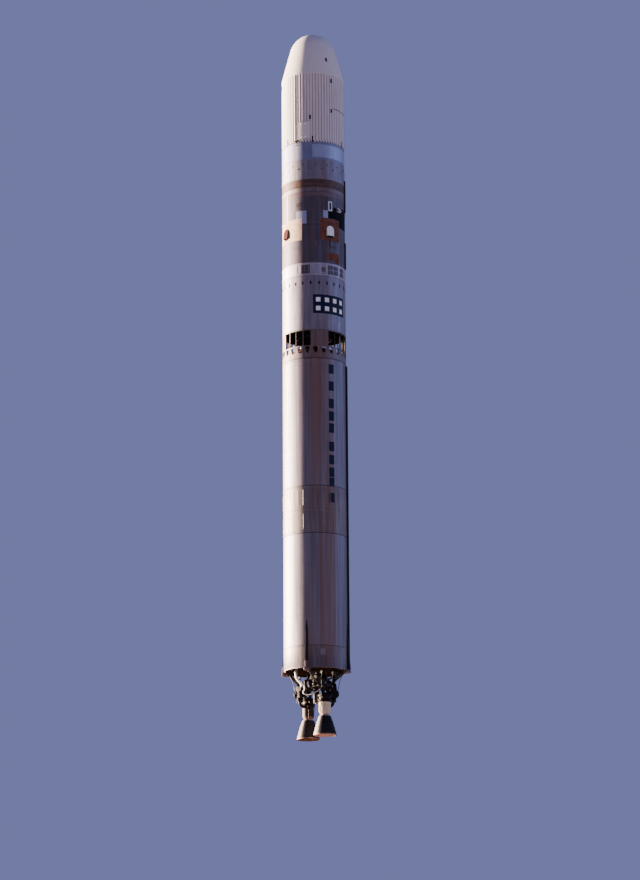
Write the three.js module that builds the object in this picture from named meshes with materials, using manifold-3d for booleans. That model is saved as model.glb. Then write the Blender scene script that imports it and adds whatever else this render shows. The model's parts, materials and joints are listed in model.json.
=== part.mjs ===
// Two-stage space rocket at full size, in millimetres, with +Z towards the nose.
// The origin is on the long axis, in the plane of the four feet that stand on a launch ring.
// An azimuth is in degrees round the body, from the -Y side and rising towards +X.
import * as THREE from 'three';
import { mergeVertices } from 'three/addons/utils/BufferGeometryUtils.js';
import Module from 'manifold-3d';

const wasm = await Module();
wasm.setup();

// Gaps: fixed pieces that touch, and a pin in its hole
const SEAT_GAP = 0.3;
const PIN_GAP = 0.8;

// Sides of round pieces, from the smallest
const BAR_SIDES = 8;
const PIN_SIDES = 16;
const BELL_SIDES = 24;

// Body
const BODY_SIDES = 48;
const BODY_R = 1525;
const SKIN = 35;

// Heights of the joints between the sections
const SKIRT_EDGE = 120;
const FUEL_TANK_BASE = 1150;
const BETWEEN_TANKS_BASE = 6540;
const OXIDISER_TANK_BASE = 8820;
const INTERSTAGE_BASE = 15070;
const STAGE_JOINT = 16470;
const UPPER_TANK_BASE = 18600;
const PALE_RING_BASE = 19190;
const EQUIPMENT_BASE = 19820;
const UPPER_OXIDISER_BASE = 21720;
const BRONZE_BAND_BASE = 23630;
const FORWARD_SKIRT_BASE = 24060;
const ADAPTER_BASE = 25060;
const FAIRING_BASE = 25960;
const NOSE_BASE = 29590;

// Aft skirt, its four thrust longerons and their feet
const SKIRT_FLANGE = { depth: 90, height: 40 };
const LONGERON = { width: 130, proud: 150, straight: 200, top: 1870, tipProud: 12 };
const LONGERON_AZIMUTHS = [-45, 45, 135, -135];
const FOOT = { width: 240, outer: BODY_R + 150, inner: BODY_R - 165 };

// Tank ends
const FUEL_DOME = { radius: BODY_R - 60, height: 600 };
const OXIDISER_DOME = { radius: BODY_R - 60, height: 850 };
const UPPER_DOME = { radius: BODY_R - 60, height: 330 };

// Interstage windows and pressure ports
const WINDOW = { count: 4, centre: 26.5, span: 57, low: 15670, high: 16430, ribs: 3, ribSpan: 1.4 };
const PORT = { count: 24, first: 4, centre: 15470, width: 230, height: 300, corner: 45 };

// Payload fairing: three sectors that part at these azimuths
const FAIRING_WALL = 55;
const CORRUGATION = { count: 66, depth: 16, crestShare: 0.4, slopeShare: 0.1 };
const FAIRING_SPLIT = -60;
const FAIRING_SECTORS = ['front', 'right', 'left'];
const SECTOR_SPAN = 120;
const NOSE = { coneHeight: 1600, coneAngle: 15 };
const DOOR = { from: -56.5, to: -33.5, low: 26120, high: 27020, outer: BODY_R - 5, inner: BODY_R - 30 };

// Thruster covers on the second stage, each with its insulation panel
const PANEL = { low: 20970, high: 22070, thick: 10 };
const COVER = { width: 420, low: 21170, archCentre: 21470, proud: 95, archProud: 85 };
const COVERS = [
  { name: 'front', azimuth: 3, panelFrom: -17, panelTo: 25 },
  { name: 'left', azimuth: -87, panelFrom: -107, panelTo: -50 },
  { name: 'back', azimuth: 183, panelFrom: 163, panelTo: 206 },
  { name: 'right', azimuth: 93, panelFrom: 73, panelTo: 116 },
];

// Cable raceways along the outside
const RACEWAYS = [
  { name: 'raceway_lower', azimuth: 52, span: 6.4, low: 170, high: 14990, proud: 80 },
  { name: 'raceway_middle', azimuth: 53, span: 6, low: 19800, high: 21200, proud: 60 },
  { name: 'raceway_upper', azimuth: 53, span: 6, low: 22700, high: 24400, proud: 60 },
];

// Second-stage engine inside the interstage
const UPPER_BELL = {
  exitZ: 16320, exitR: 840, throatZ: 17700, throatR: 180, flarePower: 0.62, wall: 20,
  headR: 260, headBase: 17880, headTop: 18150, injectorZ: 17760,
};
const UPPER_STRUT = { count: 6, radius: 35, sides: 6, wallZ: 17500, hubZ: 18100 };

// First-stage engine: one half for each thrust chamber, the second turned by half a turn
const CHAMBER_Y = -820;
const GIMBAL_Z = -800;

// Thrust frame: hub and ears over the gimbal, beam, tubes, and the arm that holds the turbopump
const HUB = { half: 170, low: 150, high: 270 };
const BEAM = { halfLength: 330, halfWidth: 60, lowSeat: 50, highSeat: 20 };
const EAR = { inner: 78, outer: 118, halfWidth: 60, reach: 60, root: 10 };
const TRUNNION_R = 35;
const CROSS_HALF = 70;
const STRUT_R = 42;
const FOOT_TRIM = { radius: FOOT.inner + 100, low: -200, high: 300 };
const TIE = { x: 220, z: -590, radius: 45 };
const PUMP_ARM = { from: -380, to: -280, low: -640, high: -560, past: 120 };

// Equipment on the frame: a deck over the ties, a tank and a box on it, and a vessel hung below it
const DECK = { half: 262, from: -560, to: -60, low: -600, high: -560 };
const DECK_TANK = { from: -400, to: 200, y: -310, z: -395, radius: 170, sides: 16 };
const DECK_BOX = { low: [-230, -440, -290], high: [130, -200, 40] };
const VESSEL = { x: -60, y: -150, radius: 120, low: -1320, high: -580, sides: 14 };

// Thrust chamber, heights from the gimbal centre
const HEAD = {
  top: -150, crownR: 130, crown: -158, shoulderR: 225, shoulder: -200, neckR: 245, earBase: -210,
  flangeTop: -270, flangeR: 325, flangeBase: -350, rimR: 285, base: -380,
};
const LUG = {
  rootR: 200, footR: 300, low: -360, rootTop: -260, neck: -110, bridge: -130, tipLow: -40, tip: 30, throat: 60,
};
const MANIFOLD = { top: -470, base: -600, radius: 325, chamfer: 20 };
const BLANKET = { top: -612, base: -1080, hemR: 260, hem: 60, sides: 24 };
const CHAMBER = { outer: 250, inner: 205, cylinderBase: -1010, coneTop: -1080 };
const THROAT = { z: -1180, outer: 165, inner: 140 };
const BELL = { neckZ: -1220, neckR: 230, exitZ: -2160, exitR: 560, flarePower: 0.72, wall: 14 };
const BELL_LIP = { height: 18, rootR: 536, rootZ: -2124, flareR: 542, edgeR: 558 };

// Actuators, two to a chamber, on the gimbal plane
const ACTUATORS = [{ letter: 'a', azimuth: -45 }, { letter: 'b', azimuth: 45 }];
const LEVER = 420;
const EYE = { radius: 38, hole: 22, halfWidth: 18, sides: 12, pin: 16, pinPast: 8, earInner: 32, earOuter: 52 };
const ROD = { radius: 24, low: 30, high: 420, sides: 10 };
const BARREL = { radius: 55, low: 190, high: 620, boreTop: 480, headRoot: 610, sides: 12 };
const BRACE = { y: -962, z: 50, radius: 40 };
const HEAD_PIN = { z: -60, radius: 18, plate: 20, plateHalf: 36, earOuter: 45, sides: 10 };

// Turbopump: a gearbox between two pump housings, with the turbine below, heights from the pump's middle
const PUMP = { x: 700, z: -930, boxHalf: 100, boxFrom: -480, boxTo: -180, boxLow: -160, sides: 14 };
const PUMP_HOUSINGS = [
  { from: -600, to: -470, radius: 215, inletX: 700, inletY: -540, inletR: 90 },
  { from: -190, to: -60, radius: 190, inletX: 720, inletY: -120, inletR: 80 },
];
const INLET = { low: 100, sides: 10 };
const TURBINE = { y: -330, radius: 150, low: -370, high: -150 };

// Delivery pipes: the inlet stub that each one feeds, from the gimbal centre, the first bend from that stub,
// and then points in the rocket's axes, all with heights from the gimbal centre
const DELIVERIES = [
  { stub: [250, 110], bend: [30, 15, 75], route: [[440, -640, 50], [560, -560, -70], [640, -545, -130]] },
  { stub: [60, 260], bend: [40, 30, 75], route: [[330, -330, 75], [560, -160, -30], [640, -130, -130]] },
];
const DELIVERY = { radius: 50, start: 30 };
const BELLOWS = { outer: 86, inner: 72, low: -100, roof: 20, high: 50, sides: 10 };
const STUB = { radius: 44, low: -290, top: -60, sides: 10 };

// Suction lines from the tanks down to the pumps' inlets
const SUCTION = { radius: 65, foot: GIMBAL_Z + 160, overlap: 20 };
const SUCTION_LINES = [
  {
    name: 'oxidiser_line',
    points: [[300, -250, 900], [300, -250, 420], [310, -257, -170], [590, -460, -420], [700, -540, -500]],
  },
  {
    name: 'fuel_line',
    points: [[950, -240, 900], [950, -240, 300], [930, -230, -150], [750, -135, -420], [720, -120, -500]],
  },
];

// Exhaust duct from the turbine to a place between the bells
const EXHAUST = {
  radius: 70,
  points: [[700, -330, -1300], [700, -330, -1370], [600, -280, -1490], [420, -180, -1550], [260, -90, -1650]],
};

// The two halves of the engine; the blanket of the rear chamber is thinner and dark
const HALVES = [
  { side: 'front', turn: 0, blanketR: 280, blanketFinish: 'blanket' },
  { side: 'rear', turn: Math.PI, blanketR: 264, blanketFinish: 'darkSteel' },
];

const FINISH = {
  bareSkin: { color: 0xb9b4ae, roughness: 0.38, metalness: 0.9 },
  stiffSkin: { color: 0x9c989a, roughness: 0.42, metalness: 0.9 },
  palePaint: { color: 0xd9dde6, roughness: 0.5, metalness: 0.2 },
  fairing: { color: 0xe6dccb, roughness: 0.55, metalness: 0.05 },
  bronze: { color: 0x6b4a33, roughness: 0.45, metalness: 0.7 },
  insulation: { color: 0xb0764a, roughness: 0.8, metalness: 0 },
  darkSteel: { color: 0x2a2624, roughness: 0.5, metalness: 0.7 },
  blanket: { color: 0xd9cdb4, roughness: 0.85, metalness: 0 },
  tubeSteel: { color: 0x5c5550, roughness: 0.45, metalness: 0.8 },
  brightSteel: { color: 0xc9c4bb, roughness: 0.3, metalness: 0.95 },
  darkPaint: { color: 0x23252b, roughness: 0.6, metalness: 0.1 },
};

const radians = THREE.MathUtils.degToRad;

// A point at a radius and an azimuth
function around(radius, azimuth) {
  return new THREE.Vector2(radius * Math.sin(radians(azimuth)), -radius * Math.cos(radians(azimuth)));
}

// Numbers from one end to the other in equal steps
function evenly(from, to, steps) {
  return Array.from({ length: steps + 1 }, (_, i) => from + ((to - from) * i) / steps);
}

// Closed three.js geometry to a solid that can be joined and cut
function solidOf(geometry) {
  const bare = geometry.clone();
  bare.deleteAttribute('normal');
  bare.deleteAttribute('uv');
  const merged = mergeVertices(bare, 1e-3);
  const corners = merged.index.array;
  const triangles = [];
  for (let i = 0; i < corners.length; i += 3) {
    const [a, b, c] = corners.slice(i, i + 3);
    if (a !== b && b !== c && c !== a) triangles.push(a, b, c);
  }
  const vertProperties = merged.attributes.position.array;
  const mesh = new wasm.Mesh({ numProp: 3, vertProperties, triVerts: new Uint32Array(triangles) });
  return new wasm.Manifold(mesh);
}

function geometryOf(solid) {
  const mesh = solid.getMesh();
  const geometry = new THREE.BufferGeometry();
  geometry.setAttribute('position', new THREE.BufferAttribute(mesh.vertProperties, 3));
  geometry.setIndex(new THREE.BufferAttribute(mesh.triVerts, 1));
  geometry.computeVertexNormals();
  return geometry;
}

const join = (...solids) => solids.reduce((sum, solid) => sum.add(solid));
const cut = (solid, ...tools) => tools.reduce((rest, tool) => rest.subtract(tool), solid);

// The same solid turned round the Z axis and then moved
function placed(solid, azimuth, x = 0, y = 0, z = 0) {
  return solidOf(geometryOf(solid).rotateZ(radians(azimuth)).translate(x, y, z));
}

// Solid of revolution round Z from [radius, height] points, outer side going up
function lathe(profile, sides = BODY_SIDES) {
  const points = profile.map(([radius, z]) => new THREE.Vector2(radius, z));
  return solidOf(new THREE.LatheGeometry(points, sides).rotateX(Math.PI / 2));
}

function ring(outer, inner, low, high, sides) {
  return lathe([[outer, low], [outer, high], [inner, high], [inner, low], [outer, low]], sides);
}

function disc(radius, low, high, sides) {
  return lathe([[0, low], [radius, low], [radius, high], [0, high]], sides);
}

// Box from its low and high corners
function box(low, high) {
  const size = high.map((value, i) => value - low[i]);
  const centre = high.map((value, i) => (value + low[i]) / 2);
  return solidOf(new THREE.BoxGeometry(...size).translate(...centre));
}

// Round bar between two points
function bar(from, to, radius, sides = BAR_SIDES) {
  const start = new THREE.Vector3(...from);
  const end = new THREE.Vector3(...to);
  const along = end.clone().sub(start);
  const middle = start.clone().add(end).multiplyScalar(0.5);
  const upright = new THREE.Vector3(0, 1, 0);
  const turn = new THREE.Quaternion().setFromUnitVectors(upright, along.clone().normalize());
  const geometry = new THREE.CylinderGeometry(radius, radius, along.length(), sides);
  return solidOf(geometry.applyQuaternion(turn).translate(middle.x, middle.y, middle.z));
}

// Pipe along a smooth curve through the points
function pipe(points, radius, steps = 7, sides = BAR_SIDES) {
  const path = new THREE.CatmullRomCurve3(points.map((point) => new THREE.Vector3(...point)));
  const section = new THREE.Shape(evenly(0, 360, sides).slice(0, sides).map((angle) => around(radius, angle)));
  return solidOf(new THREE.ExtrudeGeometry(section, { steps, bevelEnabled: false, extrudePath: path }));
}

// Flat outline in the XY plane, raised from low to high, with an optional hole
function prism(outline, low, high, hole) {
  const shape = new THREE.Shape(outline);
  if (hole) shape.holes.push(new THREE.Path(hole));
  const geometry = new THREE.ExtrudeGeometry(shape, { depth: high - low, bevelEnabled: false });
  return solidOf(geometry.translate(0, 0, low));
}

// Piece of a round wall between two azimuths
function wallSector(outer, inner, from, to, low, high) {
  const step = 360 / BODY_SIDES;
  const between = evenly(0, 360 * 2, BODY_SIDES * 2).map((azimuth) => azimuth - 360);
  const azimuths = [from, ...between.filter((azimuth) => azimuth > from + 0.2 && azimuth < to - 0.2), to];
  const outside = azimuths.map((azimuth) => around(outer / Math.cos(radians(step / 8)), azimuth));
  const inside = azimuths.map((azimuth) => around(inner, azimuth)).reverse();
  return prism([...outside, ...inside], low, high);
}

// Plate in the plane of the axis: [radius, height] outline, given width, at azimuth 0
function radialPlate(outline, low, high) {
  const shape = new THREE.Shape(outline.map(([radius, z]) => new THREE.Vector2(radius, z)));
  const geometry = new THREE.ExtrudeGeometry(shape, { depth: high - low, bevelEnabled: false });
  const axes = [new THREE.Vector3(0, -1, 0), new THREE.Vector3(0, 0, 1), new THREE.Vector3(-1, 0, 0)];
  geometry.applyMatrix4(new THREE.Matrix4().makeBasis(...axes));
  return solidOf(geometry.translate(high, 0, 0));
}

// Outline in [x, z] pushed outwards through the wall at azimuth 0, from one radius to another
function outwardPrism(outline, inner, outer) {
  const shape = new THREE.Shape(outline);
  const geometry = new THREE.ExtrudeGeometry(shape, { depth: outer - inner, bevelEnabled: false });
  const axes = [new THREE.Vector3(1, 0, 0), new THREE.Vector3(0, 0, 1), new THREE.Vector3(0, -1, 0)];
  geometry.applyMatrix4(new THREE.Matrix4().makeBasis(...axes));
  return solidOf(geometry.translate(0, -inner, 0));
}

// Quarter ellipse from the axis out to the wall, as [radius, height] points
function domePoints({ radius, height }, base, direction, steps = 3) {
  return evenly(0, 90, steps).map((angle) => [
    radius * Math.sin(radians(angle)),
    base + direction * height * Math.cos(radians(angle)),
  ]);
}

function piece(name, solid, finish) {
  const mesh = new THREE.Mesh(geometryOf(solid), new THREE.MeshStandardMaterial(FINISH[finish]));
  mesh.name = name;
  return mesh;
}

// Everything inside the skin line, so that a fitting cut by it seats on the body
const bodySeat = (extra = 0) => disc(BODY_R + SEAT_GAP + extra, SKIRT_EDGE - SEAT_GAP, FAIRING_BASE);

function aftSkirt() {
  const inner = BODY_R - SKIN;
  const lipR = BODY_R - SKIRT_FLANGE.depth;
  const lipTop = SKIRT_EDGE + SKIRT_FLANGE.height;
  const top = FUEL_TANK_BASE - SEAT_GAP;
  return lathe([
    [BODY_R, SKIRT_EDGE], [BODY_R, top], [inner, top], [inner, lipTop], [lipR, lipTop],
    [lipR, SKIRT_EDGE], [BODY_R, SKIRT_EDGE],
  ]);
}

function footBlock(grow = 0) {
  const half = FOOT.width / 2 + grow;
  return box([-half, -FOOT.outer - grow, -grow], [half, -FOOT.inner + grow, SKIRT_EDGE - SEAT_GAP + grow]);
}

function longeron(azimuth) {
  const { width, proud, straight, top, tipProud } = LONGERON;
  const root = BODY_R - SKIN;
  const foot = SKIRT_EDGE / 2;
  const wedge = radialPlate([
    [root, foot], [BODY_R + proud, foot], [BODY_R + proud, straight], [BODY_R + tipProud, top], [root, top],
  ], -width / 2, width / 2);
  return cut(placed(join(footBlock(), wedge), azimuth), bodySeat());
}

const fuelTank = () => lathe([
  ...domePoints(FUEL_DOME, FUEL_TANK_BASE, -1),
  [BODY_R, FUEL_TANK_BASE], [BODY_R, BETWEEN_TANKS_BASE - SEAT_GAP], [0, BETWEEN_TANKS_BASE - SEAT_GAP],
]);

const oxidiserTank = () => lathe([
  [0, OXIDISER_TANK_BASE], [BODY_R, OXIDISER_TANK_BASE], [BODY_R, INTERSTAGE_BASE - SEAT_GAP],
  ...domePoints(OXIDISER_DOME, INTERSTAGE_BASE - SEAT_GAP, 1).reverse(),
]);

const upperFuelTank = () => lathe([
  ...domePoints(UPPER_DOME, UPPER_TANK_BASE, -1),
  [BODY_R, UPPER_TANK_BASE], [BODY_R, PALE_RING_BASE - SEAT_GAP], [0, PALE_RING_BASE - SEAT_GAP],
]);

// Triangle with rounded corners, point down
function portOutline() {
  const { centre, width, height, corner } = PORT;
  const corners = [
    { x: width / 2 - corner, z: centre + height / 2 - corner, from: -30 },
    { x: corner - width / 2, z: centre + height / 2 - corner, from: 90 },
    { x: 0, z: centre - height / 2 + corner, from: 210 },
  ];
  return corners.flatMap(({ x, z, from }) => evenly(from, from + 120, 2).map((angle) => new THREE.Vector2(
    x + corner * Math.cos(radians(angle)),
    z + corner * Math.sin(radians(angle)),
  )));
}

function interstage() {
  const inner = BODY_R - SKIN;
  let wall = ring(BODY_R, inner, INTERSTAGE_BASE, STAGE_JOINT - SEAT_GAP);
  const paneSpan = (WINDOW.span - WINDOW.ribs * WINDOW.ribSpan) / (WINDOW.ribs + 1);
  for (let window = 0; window < WINDOW.count; window += 1) {
    const start = WINDOW.centre - WINDOW.span / 2 + (window * 360) / WINDOW.count;
    for (let pane = 0; pane <= WINDOW.ribs; pane += 1) {
      const from = start + pane * (paneSpan + WINDOW.ribSpan);
      const opening = wallSector(BODY_R + SKIN, inner - SKIN, 0, paneSpan, WINDOW.low, WINDOW.high);
      wall = cut(wall, placed(opening, from));
    }
  }
  const port = outwardPrism(portOutline(), inner - SKIN, BODY_R + SKIN);
  for (let index = 0; index < PORT.count; index += 1) {
    wall = cut(wall, placed(port, PORT.first + (index * 360) / PORT.count));
  }
  return wall;
}

function upperEngine() {
  const { exitZ, exitR, throatZ, throatR, flarePower, wall, headR, headBase, headTop, injectorZ } = UPPER_BELL;
  const flare = evenly(0, 1, 3).map((t) => [
    throatR + (exitR - throatR) * t ** flarePower,
    throatZ + (exitZ - throatZ) * t,
  ]);
  const inside = flare.map(([radius, z]) => [radius - wall, z]);
  const bell = lathe([
    ...flare.slice().reverse(), [headR, headBase], [headR, headTop], [0, headTop],
    [0, injectorZ], ...inside, flare[flare.length - 1],
  ], BELL_SIDES);
  const wallR = BODY_R - SKIN;
  const struts = evenly(0, 360, UPPER_STRUT.count).slice(1).map((azimuth) => {
    const wallPoint = around(wallR + UPPER_STRUT.radius, azimuth);
    const hubPoint = around(headR / 2, azimuth);
    return bar([hubPoint.x, hubPoint.y, UPPER_STRUT.hubZ], [wallPoint.x, wallPoint.y, UPPER_STRUT.wallZ],
      UPPER_STRUT.radius, UPPER_STRUT.sides);
  });
  const outside = ring(BODY_R * 2, wallR - SEAT_GAP, STAGE_JOINT, UPPER_TANK_BASE);
  return cut(join(bell, ...struts), outside);
}

// Outer line of the fairing in plan, with flat crests and valleys
function corrugatedOutline() {
  const { count, depth, crestShare, slopeShare } = CORRUGATION;
  const pitch = 360 / count;
  const corners = [
    [0, BODY_R], [crestShare, BODY_R],
    [crestShare + slopeShare, BODY_R - depth], [1 - slopeShare, BODY_R - depth],
  ];
  return evenly(0, count, count).slice(1).flatMap((index) => (
    corners.map(([share, radius]) => around(radius, (index + share) * pitch))));
}

// Nose in [radius, height]: a cone and then a round cap that it runs into
function nosePoints(inset, capSteps) {
  const slope = radians(NOSE.coneAngle);
  const coneTopR = BODY_R - NOSE.coneHeight * Math.tan(slope);
  const capR = coneTopR / Math.cos(slope);
  const centreZ = NOSE_BASE + NOSE.coneHeight - capR * Math.sin(slope);
  const cap = evenly(NOSE.coneAngle, 90, capSteps).map((angle) => [
    (capR - inset) * Math.cos(radians(angle)),
    centreZ + (capR - inset) * Math.sin(radians(angle)),
  ]);
  cap[capSteps][0] = 0;
  return [[BODY_R - inset, NOSE_BASE], ...cap];
}

function fairingShell() {
  const innerR = BODY_R - FAIRING_WALL;
  const hole = evenly(0, 360, BODY_SIDES).slice(1).map((azimuth) => around(innerR, azimuth));
  const wall = prism(corrugatedOutline(), FAIRING_BASE, NOSE_BASE, hole);
  const nose = lathe([...nosePoints(0, 5), ...nosePoints(FAIRING_WALL, 3).reverse(), [BODY_R, NOSE_BASE]]);
  return join(wall, nose);
}

// Third of the fairing: a wedge from just off the axis keeps the sectors apart
function fairingSector(shell, index) {
  const from = FAIRING_SPLIT + index * SECTOR_SPAN;
  const apex = around(SEAT_GAP, from + SECTOR_SPAN / 2);
  const reach = evenly(from, from + SECTOR_SPAN, 3).map((azimuth) => around(BODY_R * 2, azimuth).add(apex));
  const wedge = prism([apex, ...reach], 0, NOSE_BASE * 2);
  return shell.intersect(wedge);
}

// Access door, or with a gap all round the hole that it fills
function doorPanel(outer, gap) {
  const { inner, from, to, low, high } = DOOR;
  const sideGap = THREE.MathUtils.radToDeg(gap / inner);
  return wallSector(outer, inner - gap, from - sideGap, to + sideGap, low - gap, high + gap);
}

const panel = ({ panelFrom, panelTo }) => cut(
  wallSector(BODY_R + PANEL.thick, BODY_R - SKIN, panelFrom, panelTo, PANEL.low, PANEL.high),
  bodySeat(),
);

// Arched cover that leans back into the skin towards its top
function thrusterCover({ azimuth }) {
  const half = COVER.width / 2;
  const arch = evenly(0, 180, 8).map((angle) => new THREE.Vector2(
    half * Math.cos(radians(angle)),
    COVER.archCentre + half * Math.sin(radians(angle)),
  ));
  const outline = [new THREE.Vector2(-half, COVER.low), new THREE.Vector2(half, COVER.low), ...arch];
  const top = COVER.archCentre + half;
  const root = BODY_R - 2 * SKIN;
  const side = radialPlate([
    [root, COVER.low], [BODY_R + COVER.proud, COVER.low], [BODY_R + COVER.archProud, COVER.archCentre],
    [BODY_R + 2 * PANEL.thick, top], [root, top],
  ], -half, half);
  const blister = outwardPrism(outline, root, BODY_R + COVER.proud).intersect(side);
  return cut(placed(blister, azimuth), bodySeat(PANEL.thick + SEAT_GAP));
}

function raceway({ azimuth, span, low, high, proud }) {
  const from = azimuth - span / 2;
  return cut(wallSector(BODY_R + proud, BODY_R - SKIN, from, from + span, low, high), bodySeat());
}

// Pair of ears on each side of the gimbal centre, with a hole for the trunnion
function gimbalEars(azimuth, low, high) {
  const ears = [-1, 1].map((side) => {
    const plate = box([-EAR.halfWidth, EAR.inner, low], [EAR.halfWidth, EAR.outer, high]);
    return placed(plate, side > 0 ? 0 : 180);
  });
  const hole = bar([0, -EAR.outer * 2, 0], [0, EAR.outer * 2, 0], TRUNNION_R + PIN_GAP, PIN_SIDES);
  return placed(cut(join(...ears), hole), azimuth);
}

function gimbalCross() {
  const block = box([-CROSS_HALF, -CROSS_HALF, -EAR.halfWidth], [CROSS_HALF, CROSS_HALF, EAR.halfWidth]);
  const first = bar([0, -EAR.outer, 0], [0, EAR.outer, 0], TRUNNION_R, PIN_SIDES);
  const second = bar([-EAR.outer, 0, 0], [EAR.outer, 0, 0], TRUNNION_R, PIN_SIDES);
  return placed(join(block, first, second), 45);
}

// Forked bracket that hangs one actuator from the brace; side is -1 or 1
function actuatorBracket(side) {
  const { plate, earOuter, z, radius, sides } = HEAD_PIN;
  const x = side * LEVER * Math.SQRT1_2;
  const y = CHAMBER_Y - LEVER * Math.SQRT1_2;
  const arm = box([x - earOuter, y - earOuter, BRACE.z - BRACE.radius],
    [x + earOuter, BRACE.y + BRACE.radius / 2, BRACE.z + BRACE.radius / 2]);
  const fork = box([x - earOuter, y - earOuter, z - earOuter], [x + earOuter, y + earOuter, BRACE.z]);
  const slot = box([x - plate - SEAT_GAP, y - 2 * earOuter, z - 2 * earOuter],
    [x + plate + SEAT_GAP, y + earOuter + SEAT_GAP, BRACE.z - BRACE.radius]);
  const hole = bar([x - 2 * earOuter, y, z], [x + 2 * earOuter, y, z], radius + PIN_GAP, sides);
  return cut(join(arm, fork), slot, hole);
}

// Deck between the ties with what it carries
function equipment() {
  const { x, y, radius, low, high, sides } = VESSEL;
  return join(
    box([-DECK.half, DECK.from, DECK.low], [DECK.half, DECK.to, DECK.high]),
    bar([DECK_TANK.from, DECK_TANK.y, DECK_TANK.z], [DECK_TANK.to, DECK_TANK.y, DECK_TANK.z], DECK_TANK.radius,
      DECK_TANK.sides),
    box(DECK_BOX.low, DECK_BOX.high),
    bar([x, y, low], [x, y, high], radius, sides),
  );
}

// Welded tube frame from two feet to the gimbal of one chamber, in the rocket's own axes
function thrustFrame() {
  const beamLow = GIMBAL_Z + HUB.low;
  const beamHigh = GIMBAL_Z + HUB.high;
  const beam = box([-BEAM.halfLength, CHAMBER_Y - BEAM.halfWidth, beamLow],
    [BEAM.halfLength, CHAMBER_Y + BEAM.halfWidth, beamHigh]);
  const hubBlock = box([-HUB.half, -HUB.half, HUB.low], [HUB.half, HUB.half, HUB.high]);
  const hub = placed(hubBlock, 45, 0, CHAMBER_Y, GIMBAL_Z);
  const ears = placed(gimbalEars(-45, -EAR.reach, HUB.low + EAR.root), 0, 0, CHAMBER_Y, GIMBAL_Z);
  const footR = FOOT.inner + STRUT_R;
  const struts = [-1, 1].flatMap((side) => {
    const foot = around(footR, side * 45);
    const start = [foot.x, foot.y, SKIRT_EDGE / 2];
    const end = side * (BEAM.halfLength - STRUT_R);
    return [
      bar(start, [end, CHAMBER_Y, beamLow + BEAM.lowSeat], STRUT_R),
      bar(start, [-end, CHAMBER_Y, beamHigh - BEAM.highSeat], STRUT_R),
      bar([side * TIE.x, CHAMBER_Y, TIE.z], [side * TIE.x, -SEAT_GAP, TIE.z], TIE.radius),
      actuatorBracket(side),
    ];
  });
  const braceEnd = around(footR, 45).x;
  const brace = bar([-braceEnd, BRACE.y, BRACE.z], [braceEnd, BRACE.y, BRACE.z], BRACE.radius);
  const { from, to, low, high, past } = PUMP_ARM;
  const pumpArm = box([TIE.x, from, low], [PUMP.x + past, to, high]);
  const feet = [-45, 45].map((azimuth) => placed(footBlock(SEAT_GAP), azimuth));
  const outside = ring(BODY_R * 2, FOOT_TRIM.radius, FOOT_TRIM.low, FOOT_TRIM.high);
  return cut(join(beam, hub, ears, brace, pumpArm, equipment(), ...struts), ...feet, outside);
}

// Forked lug for an actuator's eye, with its pin
function actuatorLug(azimuth) {
  const { rootR, footR, low, rootTop, neck, bridge, tipLow, tip, throat } = LUG;
  const { radius, pin, pinPast, earInner, earOuter } = EYE;
  const outline = [
    [rootR, low], [footR, low], [LEVER + radius, tipLow], [LEVER + radius, tip],
    [LEVER - radius, tip], [LEVER - radius - throat, neck], [rootR, rootTop],
  ];
  const web = [[rootR, low], [footR, low], [LEVER - radius, bridge], [rootR, rootTop]];
  const end = earOuter + pinPast;
  return placed(join(
    radialPlate(outline, earInner, earOuter),
    radialPlate(outline, -earOuter, -earInner),
    radialPlate(web, -earOuter, earOuter),
    bar([-end, -LEVER, 0], [end, -LEVER, 0], pin),
  ), azimuth);
}

// Head of the chamber: injector dome, flange, gimbal ears, actuator lugs and inlet stubs
function chamberHead() {
  const dome = lathe([
    [0, HEAD.base], [HEAD.rimR, HEAD.base], [HEAD.flangeR, HEAD.flangeBase], [HEAD.flangeR, HEAD.flangeTop],
    [HEAD.neckR, HEAD.flangeTop], [HEAD.shoulderR, HEAD.shoulder], [HEAD.crownR, HEAD.crown], [0, HEAD.top],
  ], PIN_SIDES);
  const ears = gimbalEars(45, HEAD.earBase, EAR.reach);
  const lugs = ACTUATORS.map(({ azimuth }) => actuatorLug(azimuth));
  const inlets = DELIVERIES.map(({ stub: [x, y] }) => (
    bar([x, y, STUB.low], [x, y, STUB.top], STUB.radius, STUB.sides)));
  return join(dome, ears, ...lugs, ...inlets);
}

// Chamber wall, throat and bell as one open tube
function nozzle() {
  const { neckZ, neckR, exitZ, exitR, flarePower, wall } = BELL;
  const flare = (inset) => evenly(0, 1, 4).map((t) => [
    neckR + (BELL_LIP.flareR - neckR) * t ** flarePower - inset,
    neckZ + (exitZ - neckZ) * t,
  ]);
  const corner = [BELL_LIP.edgeR, exitZ];
  return lathe([
    corner, [exitR, exitZ + BELL_LIP.height], [BELL_LIP.rootR, BELL_LIP.rootZ],
    ...flare(0).reverse().slice(1),
    [THROAT.outer, THROAT.z], [CHAMBER.outer, CHAMBER.coneTop], [CHAMBER.outer, MANIFOLD.base],
    [MANIFOLD.radius, MANIFOLD.base + MANIFOLD.chamfer], [MANIFOLD.radius, MANIFOLD.top - MANIFOLD.chamfer],
    [CHAMBER.outer, MANIFOLD.top], [CHAMBER.outer, HEAD.base - SEAT_GAP],
    [CHAMBER.inner, HEAD.base - SEAT_GAP], [CHAMBER.inner, CHAMBER.cylinderBase], [THROAT.inner, THROAT.z],
    ...flare(wall), corner,
  ], BELL_SIDES);
}

function blanket(radius) {
  const inner = CHAMBER.outer + SEAT_GAP;
  const { top, base, hemR, hem, sides } = BLANKET;
  return lathe([
    [inner, base], [hemR, base], [radius, base + hem], [radius, top], [inner, top], [inner, base],
  ], sides);
}

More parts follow.
